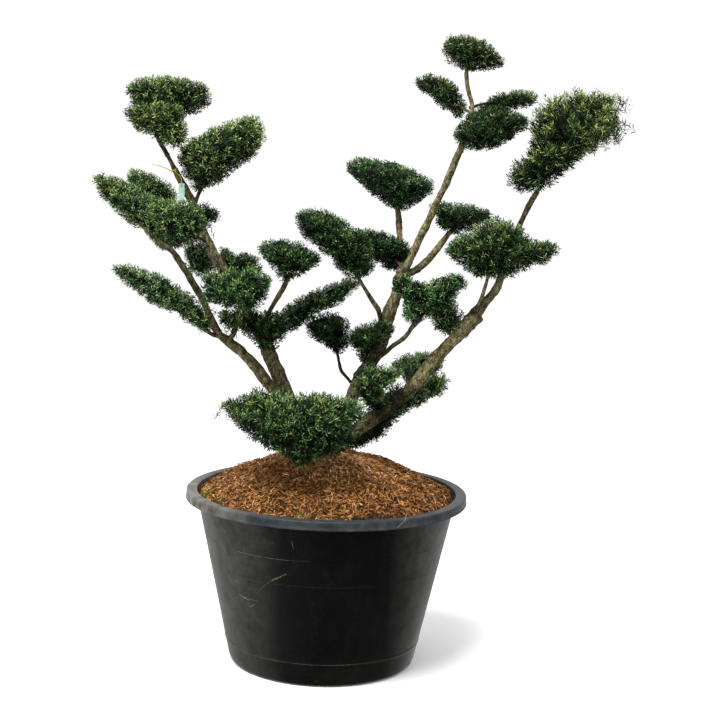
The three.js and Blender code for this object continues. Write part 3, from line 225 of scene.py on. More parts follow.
def unit(v):
    return v / np.maximum(np.linalg.norm(v, axis=-1, keepdims=True), 1e-9)


class Waves:
    """Smooth noise, about unit deviation: cosines in random directions, near the given size in metres."""

    def __init__(self, size, seed, count=26, stretch=(1, 1, 1)):
        r = np.random.default_rng(seed)
        f = TAU / size * r.uniform(0.6, 1.5, count)
        self.k = unit(r.normal(size=(count, 3))) * f[:, None] / np.array(stretch)
        self.p = r.uniform(0, TAU, count)
        self.a = math.sqrt(2 / count)

    def __call__(self, p):
        return np.cos(p @ self.k.T + self.p).sum(-1) * self.a


def mesh_of(name, verts, tris, uv=None, smooth=None):
    verts = np.ascontiguousarray(verts, np.float32)
    tris = np.ascontiguousarray(tris, np.int32)
    me = bpy.data.meshes.new(name)
    me.vertices.add(len(verts))
    me.vertices.foreach_set("co", verts.ravel())
    me.loops.add(tris.size)
    me.loops.foreach_set("vertex_index", tris.ravel())
    me.polygons.add(len(tris))
    me.polygons.foreach_set("loop_start", np.arange(0, tris.size, 3, dtype=np.int32))
    if uv is not None:
        layer = me.uv_layers.new(name="OFBake")
        layer.data.foreach_set("uv", np.ascontiguousarray(uv, np.float32).ravel())
    me.update(calc_edges=True)
    if smooth is not None:
        flags = np.broadcast_to(np.asarray(smooth, bool), (len(tris),))
        me.polygons.foreach_set("use_smooth", np.ascontiguousarray(flags))
    return me


def piece(name, mesh, material, nodes=()):
    ob = bpy.data.objects.new(name, mesh)
    bpy.context.scene.collection.objects.link(ob)
    if material is not None:
        mesh.materials.append(material)
    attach(ob, "root")
    if nodes:
        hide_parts(*nodes)
    return ob


def spline(points, step):
    """Points evenly spaced along a smooth curve through the given ones (each any number of values, first three are x, y, z)."""
    p = np.asarray(points, float)
    if len(p) == 2:
        p = np.vstack([p[0], (p[0] + p[1]) / 2, p[1]])
    q = np.vstack([2 * p[0] - p[1], p, 2 * p[-1] - p[-2]])
    out = []
    for i in range(1, len(q) - 2):
        t = np.linspace(0, 1, 17)[:-1, None]
        a, b, c, d = q[i - 1], q[i], q[i + 1], q[i + 2]
        out.append(0.5 * (2 * b + (c - a) * t + (2 * a - 5 * b + 4 * c - d) * t**2 + (3 * b - a - 3 * c + d) * t**3))
    out = np.vstack(out + [q[-2][None]])
    s = np.r_[0, np.cumsum(np.linalg.norm(np.diff(out[:, :3], axis=0), axis=1))]
    n = max(3, int(round(s[-1] / step)) + 1)
    at = np.linspace(0, s[-1], n)
    return np.stack([np.interp(at, s, out[:, j]) for j in range(out.shape[1])], 1), at


def frames(path):
    """Unit vectors across a path, carried along it without twist."""
    t = unit(np.gradient(path, axis=0))
    a = np.empty_like(t)
    ref = np.array([0.0, 1.0, 0.0]) if abs(t[0][1]) < 0.9 else np.array([1.0, 0, 0])
    v = ref - t[0] * (ref @ t[0])
    for i in range(len(t)):
        v = v - t[i] * (v @ t[i])
        v = v / np.linalg.norm(v)
        a[i] = v
    return t, a, np.cross(t, a)


def tube(path, radius, sides, closed=True, start=0.0):
    """Vertices and triangles of a tube. radius is (rings,) or (rings, sides)."""
    t, a, b = frames(path)
    ang = start + TAU * np.arange(sides) / sides
    r = np.asarray(radius, float)
    r = r[:, None] if r.ndim == 1 else r
    v = path[:, None] + (a[:, None] * np.cos(ang)[None, :, None] + b[:, None] * np.sin(ang)[None, :, None]) * r[..., None]
    n = len(path)
    i = np.arange(n - 1)[:, None] * sides
    j = np.arange(sides)[None]
    k = (j + 1) % sides
    f = np.stack([np.stack([i + j, i + k, i + sides + k], -1), np.stack([i + j, i + sides + k, i + sides + j], -1)], 2).reshape(-1, 3)
    v = v.reshape(-1, 3)
    if closed:
        v = np.vstack([v, path[0] - t[0] * r[0].mean() * 0.25, path[-1] + t[-1] * r[-1].mean() * 0.45])
        j = np.arange(sides)
        k = (j + 1) % sides
        f = np.vstack([f, np.stack([k, j, np.full(sides, n * sides)], 1), np.stack([(n - 1) * sides + j, (n - 1) * sides + k, np.full(sides, n * sides + 1)], 1)])
    return v, f


def stack(parts):
    """Joins (verts, tris[, uv]) parts into one."""
    vs, fs, us, off = [], [], [], 0
    for part in parts:
        vs.append(part[0])
        fs.append(part[1] + off)
        if len(part) > 2:
            us.append(part[2])
        off += len(part[0])
    return np.vstack(vs), np.vstack(fs), (np.vstack(us) if us else None)


# ---------------------------------------------------------------- materials
class Nodes:
    """A short way to write shader nodes."""

    def __init__(self, name, **socket):
        self.mat = bpy.data.materials.new(name)
        self.mat.use_nodes = True
        self.t = self.mat.node_tree
        self.shader = self.t.nodes["Principled BSDF"]
        for k, v in socket.items():
            self.shader.inputs[k.replace("_", " ")].default_value = v

    def new(self, kind, **prop):
        n = self.t.nodes.new(kind)
        for k, v in prop.items():
            setattr(n, k, v)
        return n

    def link(self, a, b):
        self.t.links.new(a, b)

    def put(self, socket, value):
        if isinstance(value, bpy.types.NodeSocket):
            self.link(value, socket)
        else:
            socket.default_value = value

    def object(self, scale=(1, 1, 1)):
        c = self.new("ShaderNodeTexCoord")
        m = self.new("ShaderNodeMapping")
        m.inputs["Scale"].default_value = scale
        self.link(c.outputs["Object"], m.inputs["Vector"])
        return m.outputs["Vector"]

    def noise(self, vector, scale, detail=4.0, rough=0.55, distort=0.0, out="Fac"):
        n = self.new("ShaderNodeTexNoise")
        n.inputs["Scale"].default_value = scale
        n.inputs["Detail"].default_value = detail
        n.inputs["Roughness"].default_value = rough
        n.inputs["Distortion"].default_value = distort
        self.link(vector, n.inputs["Vector"])
        return n.outputs[out]

    def cells(self, vector, scale, feature="F1", out="Distance", rand=1.0):
        n = self.new("ShaderNodeTexVoronoi", feature=feature)
        n.inputs["Scale"].default_value = scale
        n.inputs["Randomness"].default_value = rand
        self.link(vector, n.inputs["Vector"])
        return n.outputs[out]

    def math(self, op, a, b=0.0, c=0.0, clamp=False):
        n = self.new("ShaderNodeMath", operation=op, use_clamp=clamp)
        for s, v in zip(n.inputs, (a, b, c)):
            self.put(s, v)
        return n.outputs[0]

    def range(self, x, a, b, lo=0.0, hi=1.0, smooth=False):
        n = self.new("ShaderNodeMapRange")
        if smooth:
            n.interpolation_type = "SMOOTHSTEP"
        n.inputs["From Min"].default_value = a
        n.inputs["From Max"].default_value = b
        n.inputs["To Min"].default_value = lo
        n.inputs["To Max"].default_value = hi
        self.put(n.inputs["Value"], x)
        return n.outputs["Result"]

    def mix(self, fac, a, b, blend="MIX"):
        n = self.new("ShaderNodeMix", data_type="RGBA", blend_type=blend)
        self.put(n.inputs["Factor"], fac)
        for s, v in ((n.inputs["A"], a), (n.inputs["B"], b)):
            pass
        col = [s for s in n.inputs if s.type == "RGBA"]
        for s, v in zip(col, (a, b)):
            if isinstance(v, tuple) and len(v) == 3:
                v = (*v, 1.0)
            self.put(s, v)
        return [s for s in n.outputs if s.type == "RGBA"][0]

    def ramp(self, x, stops, mode="LINEAR"):
        n = self.new("ShaderNodeValToRGB")
        e = n.color_ramp.elements
        n.color_ramp.interpolation = mode
        while len(e) > 1:
            e.remove(e[-1])
        e[0].position = stops[0][0]
        e[0].color = (*stops[0][1], 1)
        for p, c in stops[1:]:
            x_ = e.new(p)
            x_.color = (*c, 1)
        self.put(n.inputs["Fac"], x)
        return n.outputs["Color"]

    def axes(self, vector):
        n = self.new("ShaderNodeSeparateXYZ")
        self.link(vector, n.inputs[0])
        return n.outputs

    def bump(self, height, strength, distance):
        n = self.new("ShaderNodeBump")
        n.inputs["Strength"].default_value = strength
        n.inputs["Distance"].default_value = distance
        self.link(height, n.inputs["Height"])
        self.link(n.outputs["Normal"], self.shader.inputs["Normal"])
        return n

    def color(self, value):
        self.put(self.shader.inputs["Base Color"], value)

    def rough(self, value):
        self.put(self.shader.inputs["Roughness"], value)


ROWS = 32


def palette_material(name, colors, roughness, specular):
    """Colour by row of the map OFBake, with painted shade darkening each blade towards its base, and paler along the
    middle line.
    """
    m = Nodes(name)
    m.shader.inputs["Specular IOR Level"].default_value = specular
    m.shader.inputs["Specular Tint"].default_value = (0.62, 0.90, 0.50, 1)
    uv = m.new("ShaderNodeUVMap", uv_map="OFBake")
    u, v, _ = m.axes(uv.outputs["UV"])
    base = m.ramp(v, [(i / ROWS, c) for i, c in enumerate(colors)], "CONSTANT")
    # painted shade: each blade is darker towards its base and lighter towards its tip
    along = m.range(u, 0.0, 1.0, 0.46, 1.34)
    line = m.math("ABSOLUTE", m.math("SUBTRACT", m.math("FRACT", m.math("MULTIPLY", v, float(ROWS))), 0.5))
    rib = m.range(line, 0.0, 0.14, 1.12, 1.0, smooth=True)
    shade = m.math("MULTIPLY", along, rib)
    wrap = m.new("ShaderNodeCombineXYZ")
    for s in wrap.inputs:
        m.link(shade, s)
    m.color(m.mix(1.0, base, wrap.outputs[0], "MULTIPLY"))
    m.rough(m.range(line, 0.0, 0.3, roughness + 0.06, roughness - 0.05))
    return m.mat


def blend_stops(stops, n):
    p = np.linspace(0, 1, n)
    xs = [s[0] for s in stops]
    return [tuple(float(np.interp(x, xs, [s[1][c] for s in stops])) for c in range(3)) for x in p]


# painted light and shade: each green runs from near-black rows for needles in shade to pale top rows for highlighted
# needles
COOL = blend_stops([(0, (0.0020, 0.0050, 0.0022)), (0.25, (0.0060, 0.0166, 0.0064)), (0.5, (0.0160, 0.0426, 0.0132)), (0.75, (0.0375, 0.0895, 0.0262)), (0.92, (0.0790, 0.1570, 0.0520)), (1, (0.1500, 0.2450, 0.1000))], 13)
WARM = blend_stops([(0, (0.0032, 0.0056, 0.0017)), (0.25, (0.0100, 0.0175, 0.0040)), (0.5, (0.0270, 0.0440, 0.0100)), (0.75, (0.0620, 0.0930, 0.0240)), (0.92, (0.1280, 0.1740, 0.0500)), (1, (0.2100, 0.2700, 0.0800))], 13)
TWIG = [(0.050, 0.034, 0.020), (0.085, 0.058, 0.034), (0.130, 0.092, 0.055)]
# near-black rows, painted shade for the inside of each pad
SHADE_HEART = [(0.0006, 0.0010, 0.0005), (0.0010, 0.0018, 0.0008), (0.0020, 0.0020, 0.0012)]
foliage_mat = palette_material("yew_foliage", COOL + WARM + TWIG + SHADE_HEART, 0.50, 0.11)
COOL0, WARM0, TWIG0, SHADE_HEART0 = 0, 13, 26, 29


# ---------------------------------------------------------------- foliage
def closed_curve(flat, n):
    p = np.array(flat, float).reshape(-1, 2)
    m = len(p)
    t = np.arange(n) * m / n
    i = np.floor(t).astype(int)
    f = (t - i)[:, None]
    a, b, c, d = p[(i - 1) % m], p[i % m], p[(i + 1) % m], p[(i + 2) % m]
    return 0.5 * (2 * b + (c - a) * f + (2 * a - 5 * b + 4 * c - d) * f**2 + (3 * b - a - 3 * c + d) * f**3)


def pad_surface(pad, shrink, around, across, lump=0.0, seed=0):
    """Grid of points on a pad, and its triangles. shrink is how far inside the outline it lies, in metres."""
    name, x, y, z, deep, slew, flat = pad
    e = closed_curve(flat, around) * MM
    # pulls each outline point straight in by shrink
    n2 = np.stack([-np.gradient(np.r_[e[-1:, 1], e[:, 1], e[:1, 1]])[1:-1], np.gradient(np.r_[e[-1:, 0], e[:, 0], e[:1, 0]])[1:-1]], 1)
    n2 = n2 / np.maximum(np.linalg.norm(n2, axis=1, keepdims=True), 1e-9)
    if ((e - e.mean(0)) * n2).sum() < 0:
        n2 = -n2
    move = np.minimum(shrink, 0.6 * np.linalg.norm(e, axis=1))
    inner = e - n2 * move[:, None]
    # where a narrow tongue would turn inside out, the inner line runs straight across its root
    gap = np.sqrt(((inner[:, None] - e[None]) ** 2).sum(-1)).min(1)
    good = gap > 0.80 * move - 0.0004
    if 10 < good.sum() < around:
        at = np.arange(around)
        inner = np.stack([np.interp(at, at[good], inner[good, q], period=around) for q in (0, 1)], 1)
    e = inner
    d = max(deep * MM - shrink, 0.012)
    phi = np.linspace(-math.pi / 2, math.pi / 2, across + 1)
    s = np.cos(phi)[:, None]
    px = x * MM + e[None, :, 0] * s
    pz = z * MM + e[None, :, 1] * s
    py = y * MM + slew * e[None, :, 0] * s + d * np.sin(phi)[:, None]
    p = np.stack(np.broadcast_arrays(px, py, pz), -1)
    i = np.arange(across)[:, None] * around
    j = np.arange(around)[None]
    k = (j + 1) % around
    f = np.stack([np.stack([i + j, i + k, i + around + k], -1), np.stack([i + j, i + around + k, i + around + j], -1)], 2).reshape(-1, 3)
    v = p.reshape(-1, 3)
    c = v.mean(0)
    nrm = np.cross(v[f[:, 1]] - v[f[:, 0]], v[f[:, 2]] - v[f[:, 0]])
    if ((v[f].mean(1) - c) * nrm).sum() < 0:
        f = f[:, ::-1]
        nrm = -nrm
    vn = np.zeros_like(v)
    for q in range(3):
        np.add.at(vn, f[:, q], nrm)
    vn[:around] = (0, -1, 0)
    vn[-around:] = (0, 1, 0)
    vn = unit(vn)
    if lump:
        v = v + vn * (np.clip(Waves(0.055, seed)(v), -1.8, 1.0) * lump)[:, None]
    area = np.linalg.norm(np.cross(v[f[:, 1]] - v[f[:, 0]], v[f[:, 2]] - v[f[:, 0]]), axis=1) / 2
    return v, f, vn, area


def row_uv(row, count_tris_pattern):
    """UV of each loop: pattern is (loops, 2) with u along and w across from -1 to 1, row is (n,)."""
    u = count_tris_pattern[:, 0][None]
    w = count_tris_pattern[:, 1][None]
    v = (row[:, None] + 0.5 + 0.32 * w) / ROWS
    return np.stack([np.broadcast_to(u, v.shape), v], -1)


NEEDLE_TRIS = np.array([[0, 1, 3], [0, 3, 2], [2, 3, 4]])
NEEDLE_UV = {0: (0.04, -0.7), 1: (0.04, 0.7), 2: (0.6, -1), 3: (0.6, 1), 4: (0.98, 0)}
NEEDLE_PATTERN = np.array([NEEDLE_UV[i] for i in NEEDLE_TRIS.ravel()])


def needles(o, v, w, length, width, bend, row):
    """Flat pointed blades: o base, v direction, w across, all (n, 3)."""
    nb = np.cross(v, w)
    half = (width / 2)[:, None]
    ln = length[:, None]
    mid = o + v * ln * 0.60 + nb * (bend[:, None] * ln)
    tip = o + v * ln - nb * (bend[:, None] * ln * 0.4)
    vs = np.stack([o - w * half * 0.55, o + w * half * 0.55, mid - w * half, mid + w * half, tip], 1).reshape(-1, 3)
    f = (np.arange(len(o))[:, None, None] * 5 + NEEDLE_TRIS[None]).reshape(-1, 3)
    uv = row_uv(row, NEEDLE_PATTERN).reshape(-1, 2)
    return vs, f, uv


def triangle_uv(tris_count, rows, rng):
    """Small islands of real size for plain triangles, one row each."""
    u0 = rng.uniform(0.05, 0.6, tris_count)
    v0 = (rows + 0.5) / ROWS
    out = np.empty((tris_count, 3, 2))
    out[:, 0] = np.stack([u0, v0 - 0.3 / ROWS], 1)
    out[:, 1] = np.stack([u0 + 0.3, v0 - 0.3 / ROWS], 1)
    out[:, 2] = np.stack([u0 + 0.15, v0 + 0.3 / ROWS], 1)
    return out.reshape(-1, 2)


WOOD_POINTS = np.vstack([spline(np.array(s, float) * MM, 0.01)[0] for s in list(STEMS.values()) + list(BRANCHES.values())])
foliage_tris = 0
FOLIAGE_BUDGET = 748_000


def pad_parts(pad, scale):
    global foliage_tris
    name, x, y, z, deep, slew, flat = pad
    cut, warmth, light, fall = LOOKS[name]
    nl, nw, sl, per, count, ragged = CUTS[cut]
    rng = np.random.default_rng(seed_of(name))
    seed = seed_of(name) % 99991
    inset = 0.0045 if cut in ("clipped", "normal") else (0.012 if cut == "soft" else 0.018)
    v, f, vn, area = pad_surface(pad, inset, 96, 30, lump=0.0045 if cut != "loose" else 0.008, seed=seed)
    fn = unit(vn[f].mean(1))
    weight = area * (0.74 + 0.26 * np.clip(fn[:, 2] + 0.6, 0, 1)) * np.where(fn[:, 1] > 0.35, 0.86, 1.0)
    total = weight.sum()
    n = int(total * per * scale)
    cum = np.cumsum(weight) / total
    pick = np.searchsorted(cum, (np.arange(n) + rng.uniform(0, 1, n)) / n)
    pick = np.minimum(pick, len(f) - 1)
    b = rng.dirichlet((1, 1, 1), n)
    p = (v[f[pick]] * b[..., None]).sum(1)
    nr = unit((vn[f[pick]] * b[..., None]).sum(1))
    centre = np.array([x, y, z]) * MM
    out = unit((p - centre) * np.array([1, 1, 0.6]))
    up = np.array([0, 0, 1.0])
    lean = {"clipped": 0.55, "normal": 0.50, "soft": 0.62, "loose": 0.85}[cut]
    d = unit(nr * 0.70 + up * lean * 0.8 + out * 0.30 + rng.normal(size=(n, 3)) * 0.34)
    # the underside's shoots turn back out of the pad
    below = np.clip(-(d * nr).sum(1) + 0.25, 0, 1)[:, None]
    d = unit(d + nr * below * 1.6)
    # small hollows between the tufts
    grain = {"clipped": 0.016, "normal": 0.018, "soft": 0.024, "loose": 0.034}[cut]
    pit = np.clip(Waves(grain, seed + 21, 14)(p) - 0.1, 0, 1)
    tip = p + nr * (np.clip(rng.normal(size=n), -2.0, 1.0) * ragged - pit * grain * 0.75)[:, None]
    if cut in ("soft", "loose"):
        long = rng.random(n) < (0.10 if cut == "soft" else 0.20)
        far = (0.007 if cut == "soft" else 0.011) * rng.random(n) * np.clip(nr[:, 2] + 0.35, 0, 1)
        tip = tip + d * (long * far)[:, None]
    length = sl * rng.uniform(0.8, 1.2, n)
    k = count
    ph = rng.uniform(0, TAU, n)
    a0 = unit(np.cross(d, np.where(np.abs(d[:, 2:3]) < 0.9, up, np.array([1.0, 0, 0]))))
    a1 = np.cross(d, a0)
    t = np.linspace(0.22, 1.0, k)[None] + rng.normal(size=(n, k)) * 0.02
    ang = ph[:, None] + np.arange(k)[None] * 2.39996 + rng.normal(size=(n, k)) * 0.25
    r = a0[:, None] * np.cos(ang)[..., None] + a1[:, None] * np.sin(ang)[..., None]
    inc = np.radians(np.interp(t, [0.2, 0.75, 1.0], [70, 58, 30])) + rng.normal(size=(n, k)) * 0.18
    o = (tip - d * length[:, None])[:, None] + d[:, None] * (t * length[:, None])[..., None] + r * 0.0006
    vdir = unit(d[:, None] * np.cos(inc)[..., None] + r * np.sin(inc)[..., None])
    w = np.broadcast_to(unit(np.cross(d[:, None], r)), vdir.shape)
    roll = rng.normal(size=(n, k, 1)) * 0.35
    w = unit(w * np.cos(roll) + np.cross(vdir, w) * np.sin(roll))
    ln = nl * rng.uniform(0.78, 1.16, (n, k)) * np.interp(t, [0.2, 0.6, 1.0], [0.92, 1.0, 0.72])
    # the shears leave nothing further out than this
    reach = {"clipped": 0.0050, "normal": 0.0070, "soft": 0.0120, "loose": 0.0220}[cut]
    over = ((o + vdir * ln[..., None] - p[:, None]) * nr[:, None]).sum(-1)
    ln = ln * np.where(over > reach, np.clip(reach / np.maximum(over, 1e-4), 0.5, 1.0), 1.0)
    wd = nw * rng.uniform(0.85, 1.15, (n, k))
    bend = rng.uniform(-0.02, 0.09, (n, k))
    patch = Waves(0.11, seed + 5)(p) * 0.5 + Waves(0.035, seed + 6)(p) * 0.5
    high = np.clip((p[:, 2] - p[:, 2].min()) / max(np.ptp(p[:, 2]), 1e-3), 0, 1)
    depthy = {"clipped": 1.0, "normal": 1.15, "soft": 1.6, "loose": 1.7}[cut]
    # the loose spray is palest at its sunny right edge
    side = 2.6 * np.clip((p[:, 0] - centre[0]) / 0.13, -1, 1) if cut == "loose" else 0.0
    # painted light and shade in each shoot's tone: the pad's tone and fall, upward-facing shoots lighter, shoots in
    # the hollows darker, the loose spray's sunny side lighter; patch and the random part are the needles' own varied
    # tone
    shoot_tone_and_shade = 5.3 + 0.5 * depthy + light + 1.0 * nr[:, 2] + fall * (high - 0.5) + 0.9 * patch - 4.4 * depthy * pit + rng.normal(size=n) * 2.1 * depthy + side
    fresh = (rng.random(n) < 0.14 + 0.20 * np.clip(nr[:, 2], 0, 1)) * rng.uniform(1.0, 3.0, n)
    # painted shade: needles darker towards the shoot's base
    tone = shoot_tone_and_shade[:, None] + (t - 0.78) * 10.0 * depthy + fresh[:, None] * np.clip(t * 2 - 1, 0, 1) + rng.normal(size=(n, k)) * {"loose": 3.4, "soft": 2.6}.get(cut, 1.9)
    rise = {"loose": 1.3, "soft": 0.25}.get(cut, 0.15) * (high - 0.5)
    family = (rng.random(n) < np.clip(warmth + (0.22 * patch) * min(1, warmth * 3) + rise, 0.0, 0.97)).astype(int)
    row = np.clip(np.round(tone), 0, 12) + np.where(family[:, None] > 0, WARM0, COOL0)
    nv, nf, nuv = needles(o.reshape(-1, 3), vdir.reshape(-1, 3), w.reshape(-1, 3), ln.ravel(), wd.ravel(), bend.ravel(), row.ravel())
    # shoot stems: a thin two-sided strip each, from the twig out to the tip
    sw = 0.0008
    s0 = tip - d * (length * 1.05)[:, None]
    s1 = tip - d * (length * 0.12)[:, None]
    sv = np.stack([s0 - a0 * sw, s0 + a0 * sw, s1 + a0 * sw * 0.5, s1 - a0 * sw * 0.5], 1).reshape(-1, 3)
    sf = (np.arange(n)[:, None, None] * 4 + np.array([[0, 1, 2], [0, 2, 3]])[None]).reshape(-1, 3)
    pat = np.array([(0.1, -1), (0.1, 1), (0.9, 1), (0.1, -1), (0.9, 1), (0.9, -1)])
    suv = row_uv(np.where(rng.random(n) < 0.5, TWIG0, 6 + COOL0).astype(float), pat).reshape(-1, 2)
    parts = [(nv, nf, nuv), (sv, sf, suv)]
    # dark twiggy heart that closes the pad off behind its needles, painted near-black as the shade inside the pad
    depth_in = {"clipped": 0.0165, "normal": 0.0190, "soft": 0.027, "loose": 0.042}[cut]
    cv, cf, cn, ca = pad_surface(pad, depth_in, 40, 12)
    cv = cv + cn * (Waves(0.028, seed + 9)(cv) * 0.0042)[:, None]
    keep = ca > 1e-9
    cf = cf[keep]
    rows = SHADE_HEART0 + np.minimum(2, np.floor(np.abs(Waves(0.03, seed + 3)(cv[cf].mean(1))) * 1.5))
    parts.append((cv, cf, triangle_uv(len(cf), rows, rng)))
    # twigs fan out from the branch's end to the underside
    near = WOOD_POINTS[np.argsort(np.linalg.norm((WOOD_POINTS[:, :3] - centre - np.array([0, 0, -0.02])), axis=1))[:1]][0]
    fan = 26 if area.sum() > 0.05 else 16
    low = np.where(nr[:, 2] < 0.45)[0]
    ends = rng.choice(low if len(low) > fan else np.arange(n), fan, replace=False)
    for e in ends:
        a = near[:3]
        c = centre + (s0[e] - centre) * np.array([0.74, 0.74, 0.70])
        mid = (a + c) / 2 + np.array([0, 0, -0.03 * np.linalg.norm(c - a)]) + rng.normal(size=3) * 0.004
        path = spline(np.array([a, (a + mid) / 2 + rng.normal(size=3) * 0.003, mid, (mid + c) / 2 + rng.normal(size=3) * 0.003, c]), 0.028)[0]
        rad = np.linspace(0.0026, 0.0009, len(path))
        tv, tf = tube(path, rad, 4, closed=False, start=rng.uniform(0, 1))
        parts.append((tv, tf, triangle_uv(len(tf), np.full(len(tf), TWIG0 + rng.integers(0, 3), float), rng)))
    return parts


def make_pads():
    global foliage_tris
    raw = 0
    for pad in PADS:
        nl, nw, sl, per, count, ragged = CUTS[LOOKS[pad[0]][0]]
        v, f, vn, area = pad_surface(pad, 0.0065, 96, 30)
        raw += area.sum() * 0.9 * per * (count * 3 + 2)
    scale = (FOLIAGE_BUDGET - 35 * 1400) / raw
    print("foliage scale", round(scale, 3))
    for pad in PADS:
        v, f, uv = stack(pad_parts(pad, scale))
        me = mesh_of(pad[0] + "_sprays", v, f, uv, smooth=False)
        piece(pad[0] + "_sprays", me, foliage_mat, (pad[0],))
        foliage_tris += len(f)
    print("foliage triangles", foliage_tris)


make_pads()


# ---------------------------------------------------------------- wood
def bark_material():
    m = Nodes("yew_bark")
    m.shader.inputs["Specular IOR Level"].default_value = 0.07
    co = m.object()
    flow = m.object((1.0, 1.0, 0.55))
    thin = m.new("ShaderNodeAttribute", attribute_type="GEOMETRY", attribute_name="thin").outputs["Fac"]
    shade = m.new("ShaderNodeAttribute", attribute_type="GEOMETRY", attribute_name="shade").outputs["Fac"]
    large = m.noise(co, 7.0, 3.0)
    flake = m.noise(flow, 110.0, 5.0, 0.68, 0.6)
    fine = m.noise(flow, 380.0, 4.0, 0.62)
    plates = m.cells(flow, 75.0, "F1")
    tone = m.ramp(flake, [(0.35, (0.016, 0.011, 0.006)), (0.43, (0.046, 0.035, 0.018)), (0.50, (0.105, 0.086, 0.043)), (0.58, (0.180, 0.153, 0.080)), (0.70, (0.310, 0.275, 0.165))])
    olive = m.mix(0.60, tone, m.mix(1.0, tone, (0.82, 1.0, 0.52), "MULTIPLY"))
    col = m.mix(m.range(large, 0.44, 0.62), tone, olive)
    dark = m.range(m.noise(co, 40.0, 5.0, 0.66, 0.3), 0.52, 0.66, 0.0, 0.78, smooth=True)
    col = m.mix(dark, col, (0.020, 0.014, 0.008))
    col = m.mix(m.range(fine, 0.52, 0.66, 0.0, 0.50), col, (0.33, 0.30, 0.20))
    col = m.mix(m.range(fine, 0.48, 0.34, 0.0, 0.65), col, (0.020, 0.014, 0.009))
    col = m.mix(m.math("MULTIPLY", thin, 0.82), col, m.mix(m.range(flake, 0.42, 0.60), (0.016, 0.011, 0.007), (0.070, 0.050, 0.031)))
    # painted shadow and shade from the attribute shade: the shadowed stretches and the undersides darkened
    col = m.mix(m.math("MULTIPLY", shade, 0.96), col, m.mix(1.0, col, (0.022, 0.022, 0.018), "MULTIPLY"))
    m.color(col)
    m.rough(m.range(flake, 0.2, 0.8, 0.90, 0.72))
    h = m.math("ADD", m.math("MULTIPLY", flake, 1.0), m.math("MULTIPLY", fine, 0.4))
    h = m.math("ADD", h, m.math("MULTIPLY", plates, 0.45))
    m.bump(h, 0.8, 0.0030)
    return m.mat


def limb(name, stations, sides, step, parent_r=None):
    st = np.array(stations, float) * MM
    path4, s = spline(st, step)
    path = path4[:, :3]
    r = path4[:, 3] / 2
    if parent_r:
        r = r * (1 + 0.42 * np.exp(-((s / (parent_r * 1.25)) ** 2)))
    seed = seed_of(name) % 9973
    ang = TAU * np.arange(sides) / sides
    ph = np.cumsum(np.random.default_rng(seed).normal(size=(len(s), 3)) * 0.02, axis=0)
    rel = np.zeros((len(s), sides))
    for q, m_ in enumerate((2, 3, 5)):
        rel += (0.045, 0.035, 0.022)[q] * np.cos(m_ * ang[None] + ph[:, q:q + 1] * 3 + q * 1.7 + seed)
    t, a, b = frames(path)
    outward = a[:, None] * np.cos(ang)[None, :, None] + b[:, None] * np.sin(ang)[None, :, None]
    where = outward * r[:, None, None] + (t * (s * 0.30)[:, None])[:, None] + 3.1 * (seed % 17)
    flakes = Waves(0.010, seed + 1, 30)(where.reshape(-1, 3)).reshape(rel.shape)
    coarse = Waves(0.030, seed + 2, 20)(where.reshape(-1, 3)).reshape(rel.shape)
    rad = r[:, None] * (1 + rel * 0.9 + 0.045 * coarse) + np.minimum(0.0009, r[:, None] * 0.06) * flakes
    swell = 1 + 0.045 * Waves(0.12, seed + 4)(path)
    for x, z, size, rise in KNOTS:
        away = np.linalg.norm(path[:, [0, 2]] - np.array([x, z]) * MM, axis=1) / (size * MM)
        rad = rad + (rise * MM) * np.exp(-(away**2))[:, None] * (0.6 + 0.4 * np.cos(ang[None] * 2 + x))
    v, f = tube(path, rad * swell[:, None], sides)
    step_of = np.minimum(np.arange(len(v)) // sides, len(r) - 1)
    fall = 1.0 if name in BRANCHES else 0.35
    return v, f, (np.clip((0.0085 - r[step_of]) / 0.0042, 0, 1) * fall)


def make_wood():
    parts = []
    for name, s in STEMS.items():
        big = max(q[3] for q in s)
        sides = 26 if big > 30 else (18 if big > 15 else 12)
        parts.append(limb(name, s, sides, 0.0048))
    main = np.vstack([spline(np.array(s, float) * MM, 0.008)[0] for s in STEMS.values()])
    for name, s in BRANCHES.items():
        a = np.array(s[0][:3], float) * MM
        i = np.argmin(np.linalg.norm(main[:, :3] - a, axis=1))
        near = np.linalg.norm(main[i, :3] - a)
        pr = main[i, 3] / 2 if near < 0.04 else None
        sides = 14 if s[0][3] > 14 else 10
        parts.append(limb(name, s, sides, 0.0052, pr))
    parts.append(limb("foot", FLARE, 40, 0.006))
    thin = np.concatenate([p[2] for p in parts])
    v, f, _ = stack([p[:2] for p in parts])
    me = mesh_of("stems_bark", v, f, smooth=True)
    # painted shadow: darkened stretches of bark where the stems lie in shadow
    shade = np.zeros(len(v))
    for x, y, z, size, much in PAINTED_SHADOWS:
        away = np.linalg.norm((v - np.array([x, y, z]) * MM), axis=1) / (size * MM)
        shade = np.maximum(shade, much * np.exp(-(away**4)))
    # painted shade: bark facing down and to the right is darkened
    under = np.zeros((len(v), 3))
    fnrm = np.cross(v[f[:, 1]] - v[f[:, 0]], v[f[:, 2]] - v[f[:, 0]])
    for q in range(3):
        np.add.at(under, f[:, q], fnrm)
    under = unit(under) @ unit(np.array([0.55, -0.15, -0.85]))
    shade = 1 - (1 - shade) * (1 - 0.55 * np.clip(under + 0.05, 0, 1) ** 1.3)
    me.attributes.new("shade", "FLOAT", "POINT").data.foreach_set("value", np.ascontiguousarray(shade, np.float32))
    me.attributes.new("thin", "FLOAT", "POINT").data.foreach_set("value", np.ascontiguousarray(thin, np.float32))
    piece("stems_bark", me, bark_material(), ("stems",))
    print("wood triangles", len(f))


make_wood()


# ---------------------------------------------------------------- container
def wall(z):
    return 255 + 98 * (z - 14) / 448


